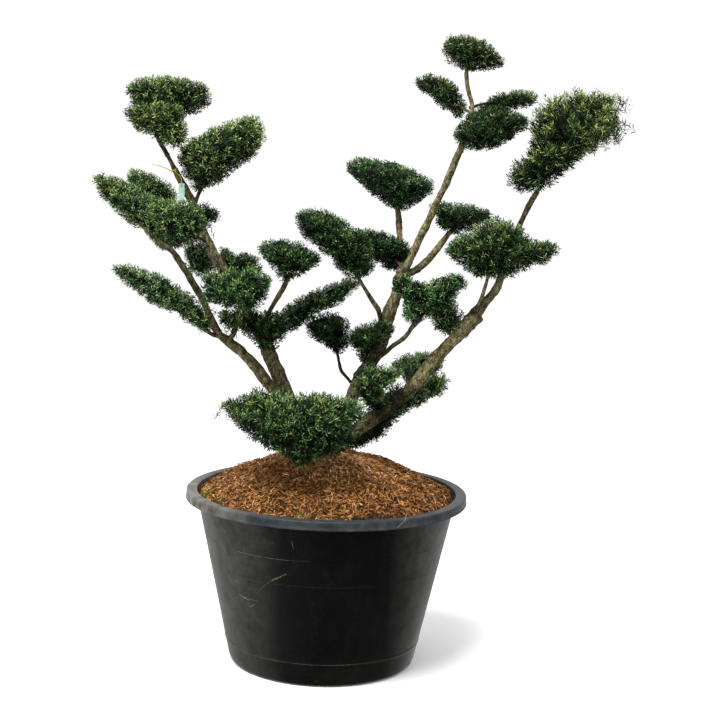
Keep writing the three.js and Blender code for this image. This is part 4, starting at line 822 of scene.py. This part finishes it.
def pot_material():
    m = Nodes("container_plastic")
    m.shader.inputs["Specular IOR Level"].default_value = 0.09
    co = m.object()
    x, y, z = m.axes(co)
    cloud = m.noise(co, 5.0, 5.0, 0.6)
    speck = m.noise(co, 420.0, 2.0, 0.5)
    streak = m.noise(m.object((22.0, 22.0, 1.6)), 2.2, 4.0, 0.6)
    base = m.ramp(cloud, [(0.3, (0.0012, 0.0014, 0.0013)), (0.7, (0.0024, 0.0028, 0.0025))])
    dust = m.math("MULTIPLY", m.range(streak, 0.55, 0.80), 0.05)
    base = m.mix(dust, base, (0.045, 0.042, 0.036))
    base = m.mix(m.math("MULTIPLY", m.range(speck, 0.66, 0.74), 0.25), base, (0.09, 0.085, 0.07))
    splash = m.math("MULTIPLY", m.range(z, 0.09, 0.0), m.range(cloud, 0.35, 0.7))
    base = m.mix(m.math("MULTIPLY", splash, 0.16), base, (0.05, 0.044, 0.034))
    # painted reflection: both flanks a dull paler grey, as the sheen the sides catch
    blotch = m.noise(co, 26.0, 5.0, 0.68)
    painted_flank_sheen = m.math("MAXIMUM", m.range(x, -0.10, -0.34, 0.0, 0.62), m.range(x, 0.17, 0.34, 0.0, 0.50))
    painted_flank_sheen = m.math("MULTIPLY", painted_flank_sheen, m.range(blotch, 0.34, 0.66, 0.35, 1.0))
    base = m.mix(painted_flank_sheen, base, (0.105, 0.108, 0.092))
    # scuffs, scratches and specks on the front
    for x0, z0, x1, z1, wide, much, tint in MARKS:
        run = math.hypot(x1 - x0, z1 - z0)
        ux, uz = (x1 - x0) / run, (z1 - z0) / run
        dx, dz = m.math("SUBTRACT", x, x0), m.math("SUBTRACT", z, z0)
        along = m.math("ADD", m.math("MULTIPLY", dx, ux), m.math("MULTIPLY", dz, uz))
        off = m.math("ABSOLUTE", m.math("SUBTRACT", m.math("MULTIPLY", dx, uz), m.math("MULTIPLY", dz, ux)))
        off = m.math("ADD", off, m.math("MULTIPLY", m.math("SUBTRACT", blotch, 0.5), wide * 1.6))
        ends = m.math("MULTIPLY", m.range(along, -0.002, 0.004), m.range(along, run - 0.006, run + 0.002, 1.0, 0.0))
        hit = m.math("MULTIPLY", ends, m.range(off, wide, wide * 0.45, 0.0, 1.0))
        hit = m.math("MULTIPLY", hit, m.range(m.noise(co, 210.0, 4.0, 0.7), 0.42, 0.58, 0.15, 1.0))
        hit = m.math("MULTIPLY", hit, m.range(y, 0.0, -0.03))
        base = m.mix(m.math("MULTIPLY", hit, much * 0.75), base, tint)
    rim = m.range(z, 0.4445, 0.4475)
    base = m.mix(rim, base, m.ramp(m.noise(co, 38.0, 4.0), [(0.3, (0.012, 0.015, 0.018)), (0.7, (0.030, 0.034, 0.037))]))
    worn = m.math("MULTIPLY", m.math("MULTIPLY", rim, m.range(x, -0.16, -0.36, 0.0, 0.7)), m.range(blotch, 0.36, 0.6))
    base = m.mix(worn, base, (0.20, 0.175, 0.14))
    nick = m.math("MULTIPLY", m.math("MULTIPLY", m.range(m.math("ABSOLUTE", m.math("ADD", m.math("SUBTRACT", x, 0.1975), m.math("MULTIPLY", m.math("SUBTRACT", z, 0.461), -1.1))), 0.0013, 0.0006), m.range(z, 0.450, 0.453)), m.range(y, -0.28, -0.31))
    base = m.mix(m.math("MULTIPLY", nick, 0.7), base, (0.20, 0.20, 0.19))
    m.color(base)
    m.rough(m.range(cloud, 0.25, 0.75, 0.44, 0.34))
    h = m.math("ADD", m.math("MULTIPLY", m.noise(co, 90.0, 3.0), 0.6), m.math("MULTIPLY", speck, 0.25))
    m.bump(h, 0.22, 0.0006)
    return m.mat


# x, z of both ends, half width, strength and tint of each mark on the front
MARKS = (
    (-0.131, 0.289, -0.088, 0.316, 0.0024, 0.85, (0.17, 0.105, 0.06)), (-0.166, 0.250, -0.131, 0.289, 0.0009, 0.55, (0.12, 0.10, 0.08)),
    (-0.218, 0.3535, -0.081, 0.3535, 0.0009, 0.55, (0.22, 0.22, 0.20)), (-0.081, 0.354, -0.030, 0.356, 0.0008, 0.35, (0.12, 0.12, 0.11)),
    (-0.205, 0.387, -0.120, 0.397, 0.0060, 0.07, (0.12, 0.12, 0.11)), (-0.077, 0.409, -0.072, 0.388, 0.0012, 0.5, (0.20, 0.20, 0.18)),
    (-0.216, 0.230, -0.186, 0.222, 0.0011, 0.7, (0.30, 0.30, 0.28)), (-0.200, 0.226, -0.160, 0.2255, 0.0014, 0.45, (0.16, 0.13, 0.10)),
    (-0.2245, 0.268, -0.2195, 0.262, 0.0018, 0.8, (0.36, 0.36, 0.33)), (-0.185, 0.203, -0.170, 0.214, 0.0012, 0.6, (0.24, 0.23, 0.21)),
    (-0.061, 0.2845, 0.129, 0.2845, 0.0008, 0.22, (0.10, 0.10, 0.09)), (-0.185, 0.2825, -0.061, 0.2845, 0.0008, 0.22, (0.10, 0.10, 0.09)),
    (-0.170, 0.0655, 0.085, 0.0655, 0.0010, 0.40, (0.17, 0.165, 0.145)), (0.085, 0.0655, 0.180, 0.0655, 0.0010, 0.28, (0.12, 0.12, 0.10)),
)


def arc(cx, cz, r, a0, a1, n):
    return [(cx + r * math.cos(math.radians(a)), cz + r * math.sin(math.radians(a))) for a in np.linspace(a0, a1, n)]


def make_pot():
    out = [(0, 0), (120, 0.0), (225, 0)]
    out += [(241, 0)] + arc(238, 16, 16, -80, -14, 7)
    for z in (20, 28, 36, 44):
        out.append((wall(z), z))
    out += [(wall(58), 58), (wall(61.6), 61.6), (wall(62.7) + 1.0, 62.7), (wall(64.6) + 1.3, 64.6), (wall(66.5) + 1.0, 66.5), (wall(67.6), 67.6), (wall(71), 71)]
    for z in (80, 100, 150, 200, 250):
        out.append((wall(z), z))
    for zl in (283, 354):
        out += [(wall(zl - 5.5), zl - 5.5), (wall(zl - 1.6), zl - 1.6), (wall(zl) + 0.45, zl), (wall(zl + 1.6), zl + 1.6), (wall(zl + 5.5), zl + 5.5)]
    for z in (380, 400, 430, 450):
        out.append((wall(z), z))
    out += [(wall(460), 460), (wall(462) + 1.2, 462.6), (358, 463.8), (366, 464.2), (373, 464.0)]
    out += [(375.3, 462), (376.0, 458), (376.2, 452), (376.2, 448.6)]
    out += [(377.2, 447.2), (379.4, 446.9), (381.3, 447.5), (381.6, 449.2), (381.1, 451.2), (379.9, 452.6)]
    out += [(379.8, 457), (379.9, 461.5)] + arc(375.6, 465.6, 4.4, 5, 88, 7)
    out += [(370, 470.1), (363, 470.3), (357, 470.1)] + arc(354.6, 466.1, 4.0, 88, 176, 6)
    out += [(350.2, 462)]
    for z in (455, 445, 400, 300, 200, 100, 40):
        out.append((wall(z) - 4, z))
    out += [(wall(17) - 4, 17), (wall(12) - 7, 9), (wall(12) - 14, 5), (120, 5), (0, 5)]
    prof = np.array(out) * MM
    n = 200
    ang = TAU * np.arange(n) / n
    rad = prof[1:-1, 0]
    # the rim is a little out of true, as soft plastic is
    wob = 1 + np.outer(np.clip((prof[1:-1, 1] - 0.25) / 0.22, 0, 1), 0.0012 * np.sin(2 * ang + 0.6) + 0.0006 * np.sin(5 * ang))
    dz = np.outer(np.clip((prof[1:-1, 1] - 0.42) / 0.05, 0, 1), 0.0006 * np.sin(3 * ang + 1.1))
    v = np.stack([rad[:, None] * wob * np.cos(ang), rad[:, None] * wob * np.sin(ang), prof[1:-1, 1][:, None] + dz], -1).reshape(-1, 3)
    m = len(rad)
    i = np.arange(m - 1)[:, None] * n
    j = np.arange(n)[None]
    k = (j + 1) % n
    f = np.stack([np.stack([i + j, i + k, i + n + k], -1), np.stack([i + j, i + n + k, i + n + j], -1)], 2).reshape(-1, 3)
    v = np.vstack([v, [0, 0, 0], [0, 0, 0.005]])
    j = np.arange(n)
    k = (j + 1) % n
    f = np.vstack([f, np.stack([k, j, np.full(n, m * n)], 1), np.stack([(m - 1) * n + j, (m - 1) * n + k, np.full(n, m * n + 1)], 1)])
    me = mesh_of("pot_moulding", v, f, smooth=True)
    ob = piece("pot_moulding", me, pot_material(), ("pot",))
    bm = bmesh.new()
    for q in range(5):
        a = math.radians(-91 + 72 * q)
        made = bmesh.ops.create_cube(bm, size=1.0)["verts"]
        bmesh.ops.scale(bm, verts=made, vec=(0.040, 0.011, 0.0125))
        bmesh.ops.translate(bm, verts=made, vec=(0.252, 0, 0.01275))
        bmesh.ops.rotate(bm, verts=made, cent=(0, 0, 0), matrix=Matrix.Rotation(a, 3, "Z"))
    cutter_mesh = bpy.data.meshes.new("cutter")
    bm.to_mesh(cutter_mesh)
    bm.free()
    cutter = bpy.data.objects.new("cutter", cutter_mesh)
    bpy.context.scene.collection.objects.link(cutter)
    mod = ob.modifiers.new("notches", "BOOLEAN")
    mod.operation = "DIFFERENCE"
    mod.solver = "EXACT"
    mod.object = cutter
    bpy.context.view_layer.update()
    done = bpy.data.meshes.new_from_object(ob.evaluated_get(bpy.context.evaluated_depsgraph_get()))
    ob.modifiers.clear()
    old = ob.data
    ob.data = done
    done.name = "pot_moulding"
    bpy.data.meshes.remove(old)
    bpy.data.objects.remove(cutter)
    done.set_sharp_from_angle(angle=math.radians(50)) if hasattr(done, "set_sharp_from_angle") else None
    print("pot polygons", len(done.polygons))


make_pot()


# ---------------------------------------------------------------- mulch
MULCH = [
    (0.016, 0.0075, 0.004), (0.026, 0.012, 0.006), (0.04, 0.018, 0.008), (0.058, 0.026, 0.01), (0.078, 0.035, 0.012),
    (0.1, 0.045, 0.0145), (0.125, 0.056, 0.017), (0.152, 0.069, 0.02), (0.18, 0.082, 0.023), (0.21, 0.097, 0.027),
    (0.24, 0.112, 0.031), (0.27, 0.128, 0.036), (0.3, 0.145, 0.042), (0.33, 0.163, 0.048), (0.36, 0.182, 0.056),
    (0.395, 0.205, 0.066), (0.43, 0.23, 0.078), (0.47, 0.262, 0.095), (0.52, 0.305, 0.125), (0.57, 0.355, 0.16),
    (0.62, 0.425, 0.225), (0.68, 0.5, 0.3), (0.73, 0.59, 0.42), (0.26, 0.118, 0.034), (0.21, 0.086, 0.024),
    (0.16, 0.064, 0.019), (0.06, 0.11, 0.02), (0.12, 0.19, 0.035), (0.24, 0.3, 0.06), (0.35, 0.38, 0.09),
    (0.018, 0.009, 0.005), (0.026, 0.014, 0.008),
]
MULCH = [(r * 1.02, g * 0.90, b * 0.92) if r > g else (r, g, b) for r, g, b in MULCH]
mulch_mat = palette_material("bark_mulch", MULCH, 0.82, 0.16)


def heap_painted_light(p):
    """Painted light and shade on the heap, in rows: paler under the foliage and to the left, darker to the right and
    at the front.
    """
    x, y = p[:, 0], p[:, 1]
    under = np.exp(-((x - 0.02) ** 2 / 0.030 + (y + 0.05) ** 2 / 0.016))
    return 8.0 * under - 3.0 * np.clip(x / 0.30, 0, 1) + 1.0 * np.clip(-x / 0.30, 0, 1) - 2.2 * np.clip((-y - 0.16) / 0.14, 0, 1)


def mound(x, y):
    """Height of the mulch in metres."""
    r = np.hypot(x, y)
    t = np.clip(r / 0.3476, 0, 1)
    a = np.arctan2(y, x)
    z = 0.460 + 0.112 * (1 - t * t) ** 1.12
    side = np.clip(np.abs(np.cos(a)) * 1.5 - 0.5, 0, 1)
    z = z - np.clip((t - 0.955) / 0.045, 0, 1) ** 1.5 * (0.006 + 0.016 * side)
    p = np.stack([x, y, np.zeros_like(x)], -1)
    return z + LOW(p) * 0.0022 * np.clip((1 - t) * 6, 0, 1) + MID(p) * 0.0016


LOW = Waves(0.11, 71)
MID = Waves(0.030, 72)


def make_mulch():
    rng = np.random.default_rng(4021)
    # ground under the fibres
    rings, n = 62, 150
    rr = np.linspace(0, 1, rings + 1)[1:] ** 0.85 * 0.3472
    ang = TAU * np.arange(n) / n
    x = (rr[:, None] * np.cos(ang)).ravel()
    y = (rr[:, None] * np.sin(ang)).ravel()
    z = mound(x, y) - 0.004 + Waves(0.012, 73)(np.stack([x, y, 0 * x], 1)) * 0.0012
    v = np.vstack([np.stack([x, y, z], 1), [0, 0, mound(np.array([0.0]), np.array([0.0]))[0] - 0.004]])
    # skirt down to the soil
    low = np.stack([0.341 * np.cos(ang), 0.341 * np.sin(ang), np.full(n, 0.4262)], 1)
    v = np.vstack([v, low])
    i = np.arange(rings - 1)[:, None] * n
    j = np.arange(n)[None]
    k = (j + 1) % n
    f = np.stack([np.stack([i + j, i + n + k, i + k], -1), np.stack([i + j, i + n + j, i + n + k], -1)], 2).reshape(-1, 3)[:, ::-1]
    j = np.arange(n)
    k = (j + 1) % n
    last = (rings - 1) * n
    c = rings * n
    f = np.vstack([f, np.stack([np.full(n, c), j, k], 1), np.stack([last + j, c + 1 + j, c + 1 + k], 1), np.stack([last + j, c + 1 + k, last + k], 1)])
    # painted light and shade of the heap on the ground under the fibres
    rows = np.clip(np.round(3.0 + 0.5 * heap_painted_light(v[f].mean(1)) + Waves(0.05, 74)(v[f].mean(1)) * 1.6 + rng.normal(size=len(f)) * 1.4), 0, 8)
    parts = [(v, f, triangle_uv(len(f), rows, rng))]

    def surface(count, edge=0.3455):
        r = edge * np.sqrt(rng.random(count))
        a = rng.uniform(0, TAU, count)
        px, py = r * np.cos(a), r * np.sin(a)
        keep = np.hypot(px + 0.024, py - 0.014) > 0.040
        px, py = px[keep], py[keep]
        h = 0.002
        pz = mound(px, py)
        nx = -(mound(px + h, py) - mound(px - h, py)) / (2 * h)
        ny = -(mound(px, py + h) - mound(px, py - h)) / (2 * h)
        nr = unit(np.stack([nx, ny, np.ones_like(nx)], 1))
        return np.stack([px, py, pz], 1), nr

    # fibres: bent strips of two lengths
    def fibres(count, lmin, lmax, wmin, wmax, rowlo, rowhi, tilt, lift):
        p, nr = surface(count)
        m = len(p)
        th = rng.uniform(0, TAU, m)
        g = unit(np.cross(nr, np.stack([np.cos(th), np.sin(th), 0 * th], 1)))
        d = unit(g + nr * rng.normal(size=(m, 1)) * tilt)
        side = unit(np.cross(d, nr))
        roll = rng.normal(size=(m, 1)) * 0.5
        side = unit(side * np.cos(roll) + np.cross(d, side) * np.sin(roll))
        ln = rng.uniform(lmin, lmax, m) * rng.uniform(0.6, 1.0, m)
        wd = rng.uniform(wmin, wmax, m)
        o = p + nr * (rng.uniform(-0.003, lift, m))[:, None]
        kink = side * (rng.normal(size=m) * ln * 0.10)[:, None] + nr * (rng.uniform(-0.02, 0.16, m) * ln)[:, None]
        a_ = o - d * (ln / 2)[:, None]
        c_ = o + d * (ln / 2)[:, None]
        b_ = o + kink
        w2 = side * (wd / 2)[:, None]
        vs = np.stack([a_ - w2 * 0.6, a_ + w2 * 0.6, b_ - w2, b_ + w2, c_ - w2 * 0.5, c_ + w2 * 0.5], 1)
        # no strip reaches into the container's wall
        rad = np.hypot(vs[..., 0], vs[..., 1])
        lim = 0.3470
        over = np.where(rad > lim, lim / np.maximum(rad, 1e-6), 1.0)
        vs[..., 0] *= over
        vs[..., 1] *= over
        vs = vs.reshape(-1, 3)
        tr = np.array([[0, 1, 3], [0, 3, 2], [2, 3, 5], [2, 5, 4]])
        fs = (np.arange(m)[:, None, None] * 6 + tr[None]).reshape(-1, 3)
        pos = {0: (0.05, -0.8), 1: (0.05, 0.8), 2: (0.5, -1), 3: (0.5, 1), 4: (0.95, -0.7), 5: (0.95, 0.7)}
        pat = np.array([pos[q] for q in tr.ravel()])
        # painted light and shade of the heap, with the fibres' own random tone
        tone = Waves(0.09, 75)(p) * 1.4 + Waves(0.024, 76)(p) * 1.5 + heap_painted_light(p)
        # painted shade: fibres sunk into the heap darker, raised ones lighter
        depth = np.clip((o - p).dot(np.array([0, 0, 1])) / 0.004, -1, 1)
        row = np.clip(np.round(rng.uniform(rowlo, rowhi, m) + tone + depth * 1.5), 0, 25)
        return vs, fs, row_uv(row, pat).reshape(-1, 2)

    q = 1.0
    parts.append(fibres(int(9500 * q), 0.010, 0.024, 0.0016, 0.0036, 3, 15, 0.22, 0.003))
    parts.append(fibres(int(6200 * q), 0.008, 0.018, 0.0012, 0.0028, 6, 17, 0.30, 0.005))
    parts.append(fibres(int(260 * q), 0.018, 0.042, 0.0010, 0.0018, 15, 21, 0.12, 0.006))

    # chips: small irregular flattened lumps
    p, nr = surface(int(1500 * q))
    m = len(p)
    th = rng.uniform(0, TAU, m)
    g = unit(np.cross(nr, np.stack([np.cos(th), np.sin(th), 0 * th], 1)))
    g = unit(g + nr * rng.normal(size=(m, 1)) * 0.25)
    s_ = unit(np.cross(g, nr))
    h_ = np.cross(s_, g)
    size = rng.uniform(0.004, 0.011, m)
    box = np.array([[-1, -1, -1], [1, -1, -1], [1, 1, -1], [-1, 1, -1], [-1, -1, 1], [1, -1, 1], [1, 1, 1], [-1, 1, 1]], float)
    jit = box[None] * (1 + rng.uniform(-0.35, 0.15, (m, 8, 3)))
    dims = np.stack([size, size * rng.uniform(0.35, 0.8, m), size * rng.uniform(0.15, 0.35, m)], 1) / 2
    loc = jit * dims[:, None]
    vs = p[:, None] + nr[:, None] * 0.0005 + loc[..., :1] * g[:, None] + loc[..., 1:2] * s_[:, None] + loc[..., 2:] * h_[:, None]
    rad = np.hypot(vs[..., 0], vs[..., 1])
    over = np.where(rad > 0.347, 0.347 / np.maximum(rad, 1e-6), 1.0)
    vs[..., 0] *= over
    vs[..., 1] *= over
    tr = np.array([[0, 2, 1], [0, 3, 2], [4, 5, 6], [4, 6, 7], [0, 1, 5], [0, 5, 4], [1, 2, 6], [1, 6, 5], [2, 3, 7], [2, 7, 6], [3, 0, 4], [3, 4, 7]])
    fs = (np.arange(m)[:, None, None] * 8 + tr[None]).reshape(-1, 3)
    # painted light and shade of the heap on the chips
    rows = np.repeat(np.clip(np.round(rng.normal(size=m) * 4.5 + 8 + heap_painted_light(p)), 0, 21), 12)
    parts.append((vs.reshape(-1, 3), fs, triangle_uv(len(fs), rows, rng)))

    # a few sprouts of weed at the edge
    for cx, cy, cnt, hgt in ((-0.055, -0.338, 26, 0.020), (-0.315, -0.115, 34, 0.022), (-0.285, -0.185, 16, 0.014), (-0.020, -0.341, 10, 0.012), (0.100, -0.325, 8, 0.009)):
        ax = cx + rng.normal(size=cnt) * 0.011
        ay = cy + rng.normal(size=cnt) * 0.006
        lim = 0.343 / np.maximum(np.hypot(ax, ay), 0.343)
        ax, ay = ax * lim, ay * lim
        o = np.stack([ax, ay, mound(ax, ay) - 0.002], 1)
        v_ = unit(rng.normal(size=(cnt, 3)) * np.array([0.7, 0.7, 0.2]) + np.array([0, 0, 0.8]))
        w_ = unit(np.cross(v_, rng.normal(size=(cnt, 3))))
        ln = hgt * rng.uniform(0.5, 1.1, cnt)
        parts.append(needles(o, v_, w_, ln, np.full(cnt, 0.0042) * rng.uniform(0.6, 1.2, cnt), rng.uniform(-0.1, 0.15, cnt), rng.integers(26, 30, cnt).astype(float)))
    v, f, uv = stack(parts)
    me = mesh_of("mulch_fibres", v, f, uv, smooth=False)
    piece("mulch_fibres", me, mulch_mat, ("mulch",))
    print("mulch triangles", len(f))


make_mulch()

soil = Nodes("potting_soil")
soil.shader.inputs["Specular IOR Level"].default_value = 0.2
co = soil.object()
crumb = soil.noise(co, 160.0, 5.0, 0.65)
soil.color(soil.ramp(crumb, [(0.3, (0.010, 0.007, 0.005)), (0.55, (0.030, 0.020, 0.013)), (0.75, (0.085, 0.058, 0.036))]))
soil.rough(soil.range(crumb, 0.2, 0.8, 0.95, 0.85))
soil.bump(crumb, 0.6, 0.003)
ground_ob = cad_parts["growing_medium"]
ground_ob.data.materials.clear() if False else None
for s in ground_ob.material_slots:
    s.material = soil.mat


# ---------------------------------------------------------------- label and tie
def label_material():
    m = Nodes("label_plastic")
    m.shader.inputs["Specular IOR Level"].default_value = 0.4
    co = m.object()
    n = m.noise(co, 90.0, 4.0)
    f = m.noise(m.object((1, 1, 0.2)), 300.0, 3.0)
    col = m.ramp(n, [(0.3, (0.50, 0.78, 0.66)), (0.7, (0.62, 0.88, 0.76))])
    m.color(m.mix(m.range(f, 0.5, 0.8, 0.0, 0.25), col, (0.75, 0.90, 0.86)))
    m.rough(m.range(n, 0.3, 0.7, 0.42, 0.55))
    m.bump(f, 0.15, 0.0003)
    return m.mat


def tie_material():
    m = Nodes("tie_plastic")
    m.shader.inputs["Specular IOR Level"].default_value = 0.4
    co = m.object()
    n = m.noise(co, 160.0, 3.0)
    m.color(m.ramp(n, [(0.3, (0.58, 0.46, 0.055)), (0.7, (0.74, 0.62, 0.11))]))
    m.rough(m.range(n, 0.3, 0.7, 0.38, 0.5))
    m.bump(n, 0.1, 0.0003)
    return m.mat


def make_label():
    lx, ly, lz, lw, lt, ll = -0.409, -0.019, 1.252, 0.016, 0.0009, 0.062
    bm = bmesh.new()
    nx, nz = 10, 36
    hole = (0.0, ll / 2 - 0.007, 0.002)
    corner = 0.0022

    def edge(z):
        # half width at a height, with rounded corners
        d = ll / 2 - abs(z)
        return lw / 2 - (corner - math.sqrt(max(corner**2 - (corner - min(d, corner)) ** 2, 0)) if d < corner else 0)

    def face(u, z):
        return -0.0012 * (z / (ll / 2)) ** 2 + 0.0009 * (u / (lw / 2)) ** 2 + 0.0004 * math.sin(z * 140)

    grid = []
    zs = np.linspace(-ll / 2, ll / 2, nz + 1)
    for side in (-1, 1):
        rows = []
        for z in zs:
            e = edge(z) if abs(z) < ll / 2 else lw / 2 - corner
            rows.append([bm.verts.new((lx + u * e, ly + face(u * e, z) + side * lt / 2, lz + z)) for u in np.linspace(-1, 1, nx + 1)])
        grid.append(rows)
    for s, rows in enumerate(grid):
        for a in range(nz):
            for b in range(nx):
                q = [rows[a][b], rows[a][b + 1], rows[a + 1][b + 1], rows[a + 1][b]]
                bm.faces.new(q if s == 0 else q[::-1])
    for a in range(nz):
        for b in (0, nx):
            q = [grid[0][a][b], grid[0][a + 1][b], grid[1][a + 1][b], grid[1][a][b]]
            bm.faces.new(q if b == 0 else q[::-1])
    for a in (0, nz):
        for b in range(nx):
            q = [grid[0][a][b], grid[0][a][b + 1], grid[1][a][b + 1], grid[1][a][b]]
            bm.faces.new(q[::-1] if a == 0 else q)
    bmesh.ops.recalc_face_normals(bm, faces=bm.faces)
    me = bpy.data.meshes.new("plant_label_strip")
    bm.to_mesh(me)
    bm.free()
    for p in me.polygons:
        p.use_smooth = True
    ob = piece("plant_label_strip", me, label_material(), ("plant_label",))
    # eyelet
    bm = bmesh.new()
    bmesh.ops.create_cone(bm, cap_ends=True, segments=28, radius1=0.002, radius2=0.002, depth=0.012)
    bmesh.ops.rotate(bm, verts=bm.verts, cent=(0, 0, 0), matrix=Matrix.Rotation(math.pi / 2, 3, "X"))
    bmesh.ops.translate(bm, verts=bm.verts, vec=(lx, ly, lz + hole[1]))
    cm = bpy.data.meshes.new("cutter")
    bm.to_mesh(cm)
    bm.free()
    cutter = bpy.data.objects.new("cutter", cm)
    bpy.context.scene.collection.objects.link(cutter)
    mod = ob.modifiers.new("eyelet", "BOOLEAN")
    mod.operation = "DIFFERENCE"
    mod.solver = "EXACT"
    mod.object = cutter
    bpy.context.view_layer.update()
    done = bpy.data.meshes.new_from_object(ob.evaluated_get(bpy.context.evaluated_depsgraph_get()))
    ob.modifiers.clear()
    ob.data = done
    bpy.data.objects.remove(cutter)
    done.set_sharp_from_angle(angle=math.radians(40)) if hasattr(done, "set_sharp_from_angle") else None


def make_tie():
    tx, ty, tz = -0.431, 0.0, 1.317
    lx, ly = -0.409, -0.019
    ez = 1.252 + 0.031 - 0.007
    parts = []
    # hoop round the stem, leaning with it, twice round
    ang = np.linspace(0, 2 * TAU, 97)
    lean = math.radians(-26)
    r = 0.0099 + 0.0004 * np.cos(ang / 2)
    h = (np.linspace(-1, 1, 97)) * 0.0013
    hx, hy, hz = r * np.cos(ang), r * np.sin(ang), h
    x = hx * math.cos(lean) + hz * math.sin(lean)
    z = -hx * math.sin(lean) + hz * math.cos(lean)
    hoop = np.stack([tx + x, ty + hy, tz + z], 1)
    parts.append(tube(hoop, np.full(97, 0.00075), 8))
    tail = spline(np.array([[tx - 0.0085, -0.005, tz - 0.003], [tx - 0.018, -0.0085, tz + 0.002], [tx - 0.030, -0.009, tz + 0.006], [tx - 0.045, -0.010, tz + 0.0105], [tx - 0.060, -0.010, tz + 0.014]]), 0.0015)[0]
    parts.append(tube(tail, np.interp(np.linspace(0, 1, len(tail)), [0, 0.7, 1], [0.0013, 0.0011, 0.0006]), 8))
    front = spline(np.array([[tx + 0.003, -0.0098, tz + 0.001], [tx + 0.006, -0.0125, tz - 0.007], [lx - 0.004, ly - 0.0026, ez + 0.026], [lx - 0.0008, ly - 0.0026, ez + 0.016], [lx, ly - 0.0023, ez + 0.006], [lx, ly - 0.0012, ez + 0.0002], [lx, ly + 0.0014, ez + 0.0002], [lx, ly + 0.0022, ez + 0.005], [lx - 0.0004, ly + 0.0010, ez + 0.011], [lx - 0.0012, ly - 0.0014, ez + 0.0155]]), 0.0012)[0]
    parts.append(tube(front, np.full(len(front), 0.00085), 8))
    knot = spline(np.array([[tx + 0.0005, -0.0108, tz - 0.0015], [tx + 0.0035, -0.0120, tz + 0.001], [tx + 0.0045, -0.0110, tz - 0.0025], [tx + 0.001, -0.0112, tz - 0.004], [tx + 0.000, -0.0122, tz + 0.0005]]), 0.0008)[0]
    parts.append(tube(knot, np.full(len(knot), 0.0009), 8))
    v, f, _ = stack(parts)
    me = mesh_of("label_tie_strip", v, f, smooth=True)
    piece("label_tie_strip", me, tie_material(), ("label_tie",))


make_label()
make_tie()


# ---------------------------------------------------------------- floor and light
def make_floor():
    n = 64
    ang = TAU * np.arange(n) / n
    v = np.vstack([np.stack([40 * np.cos(ang), 40 * np.sin(ang), np.zeros(n)], 1), [0, 0, 0]])
    j = np.arange(n)
    f = np.stack([j, (j + 1) % n, np.full(n, n)], 1)
    me = mesh_of("floor", v, f)
    ob = bpy.data.objects.new("floor", me)
    bpy.context.scene.collection.objects.link(ob)
    m = Nodes("floor_pale")
    m.color((0.96, 0.96, 0.96, 1))
    m.rough(0.9)
    m.shader.inputs["Specular IOR Level"].default_value = 0.1
    me.materials.append(m.mat)
    ob.visible_glossy = False


make_floor()

world = bpy.data.worlds.new("studio")
bpy.context.scene.world = world
world.use_nodes = True
wt = world.node_tree
sky = wt.nodes["Background"]
where = wt.nodes.new("ShaderNodeTexCoord")
way = wt.nodes.new("ShaderNodeSeparateXYZ")
wt.links.new(where.outputs["Generated"], way.inputs[0])


def world_math(op, a, b=0.0, c=0.0, clamp=False):
    n = wt.nodes.new("ShaderNodeMath")
    n.operation = op
    n.use_clamp = clamp
    for s, v in zip(n.inputs, (a, b, c)):
        if isinstance(v, bpy.types.NodeSocket):
            wt.links.new(v, s)
        else:
            s.default_value = v
    return n.outputs[0]


# the room: white above the floor line; below it what the gloss of the container sees, light at the left and behind
low = world_math("MULTIPLY_ADD", way.outputs["Z"], -12.0, 0.5, clamp=True)
left = world_math("MULTIPLY_ADD", way.outputs["X"], -1.25, 0.02, clamp=True)
rightward = world_math("MULTIPLY", world_math("MULTIPLY_ADD", way.outputs["X"], 1.1, -0.15, clamp=True), 0.26)
back = world_math("MULTIPLY_ADD", way.outputs["Y"], 1.2, 0.05, clamp=True)
under = world_math("ADD", world_math("MAXIMUM", world_math("MAXIMUM", left, rightward), back), 0.035, clamp=True)
strength = world_math("ADD", world_math("MULTIPLY", low, under), world_math("SUBTRACT", 1.0, low))
sky.inputs["Color"].default_value = (1.0, 1.0, 1.0, 1)
wt.links.new(world_math("MULTIPLY", strength, 1.07), sky.inputs["Strength"])


def area(name, where, aim, size, power, color=(1, 1, 1)):
    li = bpy.data.lights.new(name, "AREA")
    li.shape = "RECTANGLE"
    li.size, li.size_y = size
    li.energy = power
    li.color = color
    ob = bpy.data.objects.new(name, li)
    bpy.context.scene.collection.objects.link(ob)
    ob.matrix_world = Matrix.Translation(where) @ (Vector(where) - Vector(aim)).to_track_quat("Z", "Y").to_matrix().to_4x4()


area("key", (-1.0, -1.6, 4.6), (0, 0, 0.9), (2.6, 2.2), 420)

scene = bpy.context.scene
scene.view_settings.view_transform = "Standard"
scene.view_settings.look = "None"
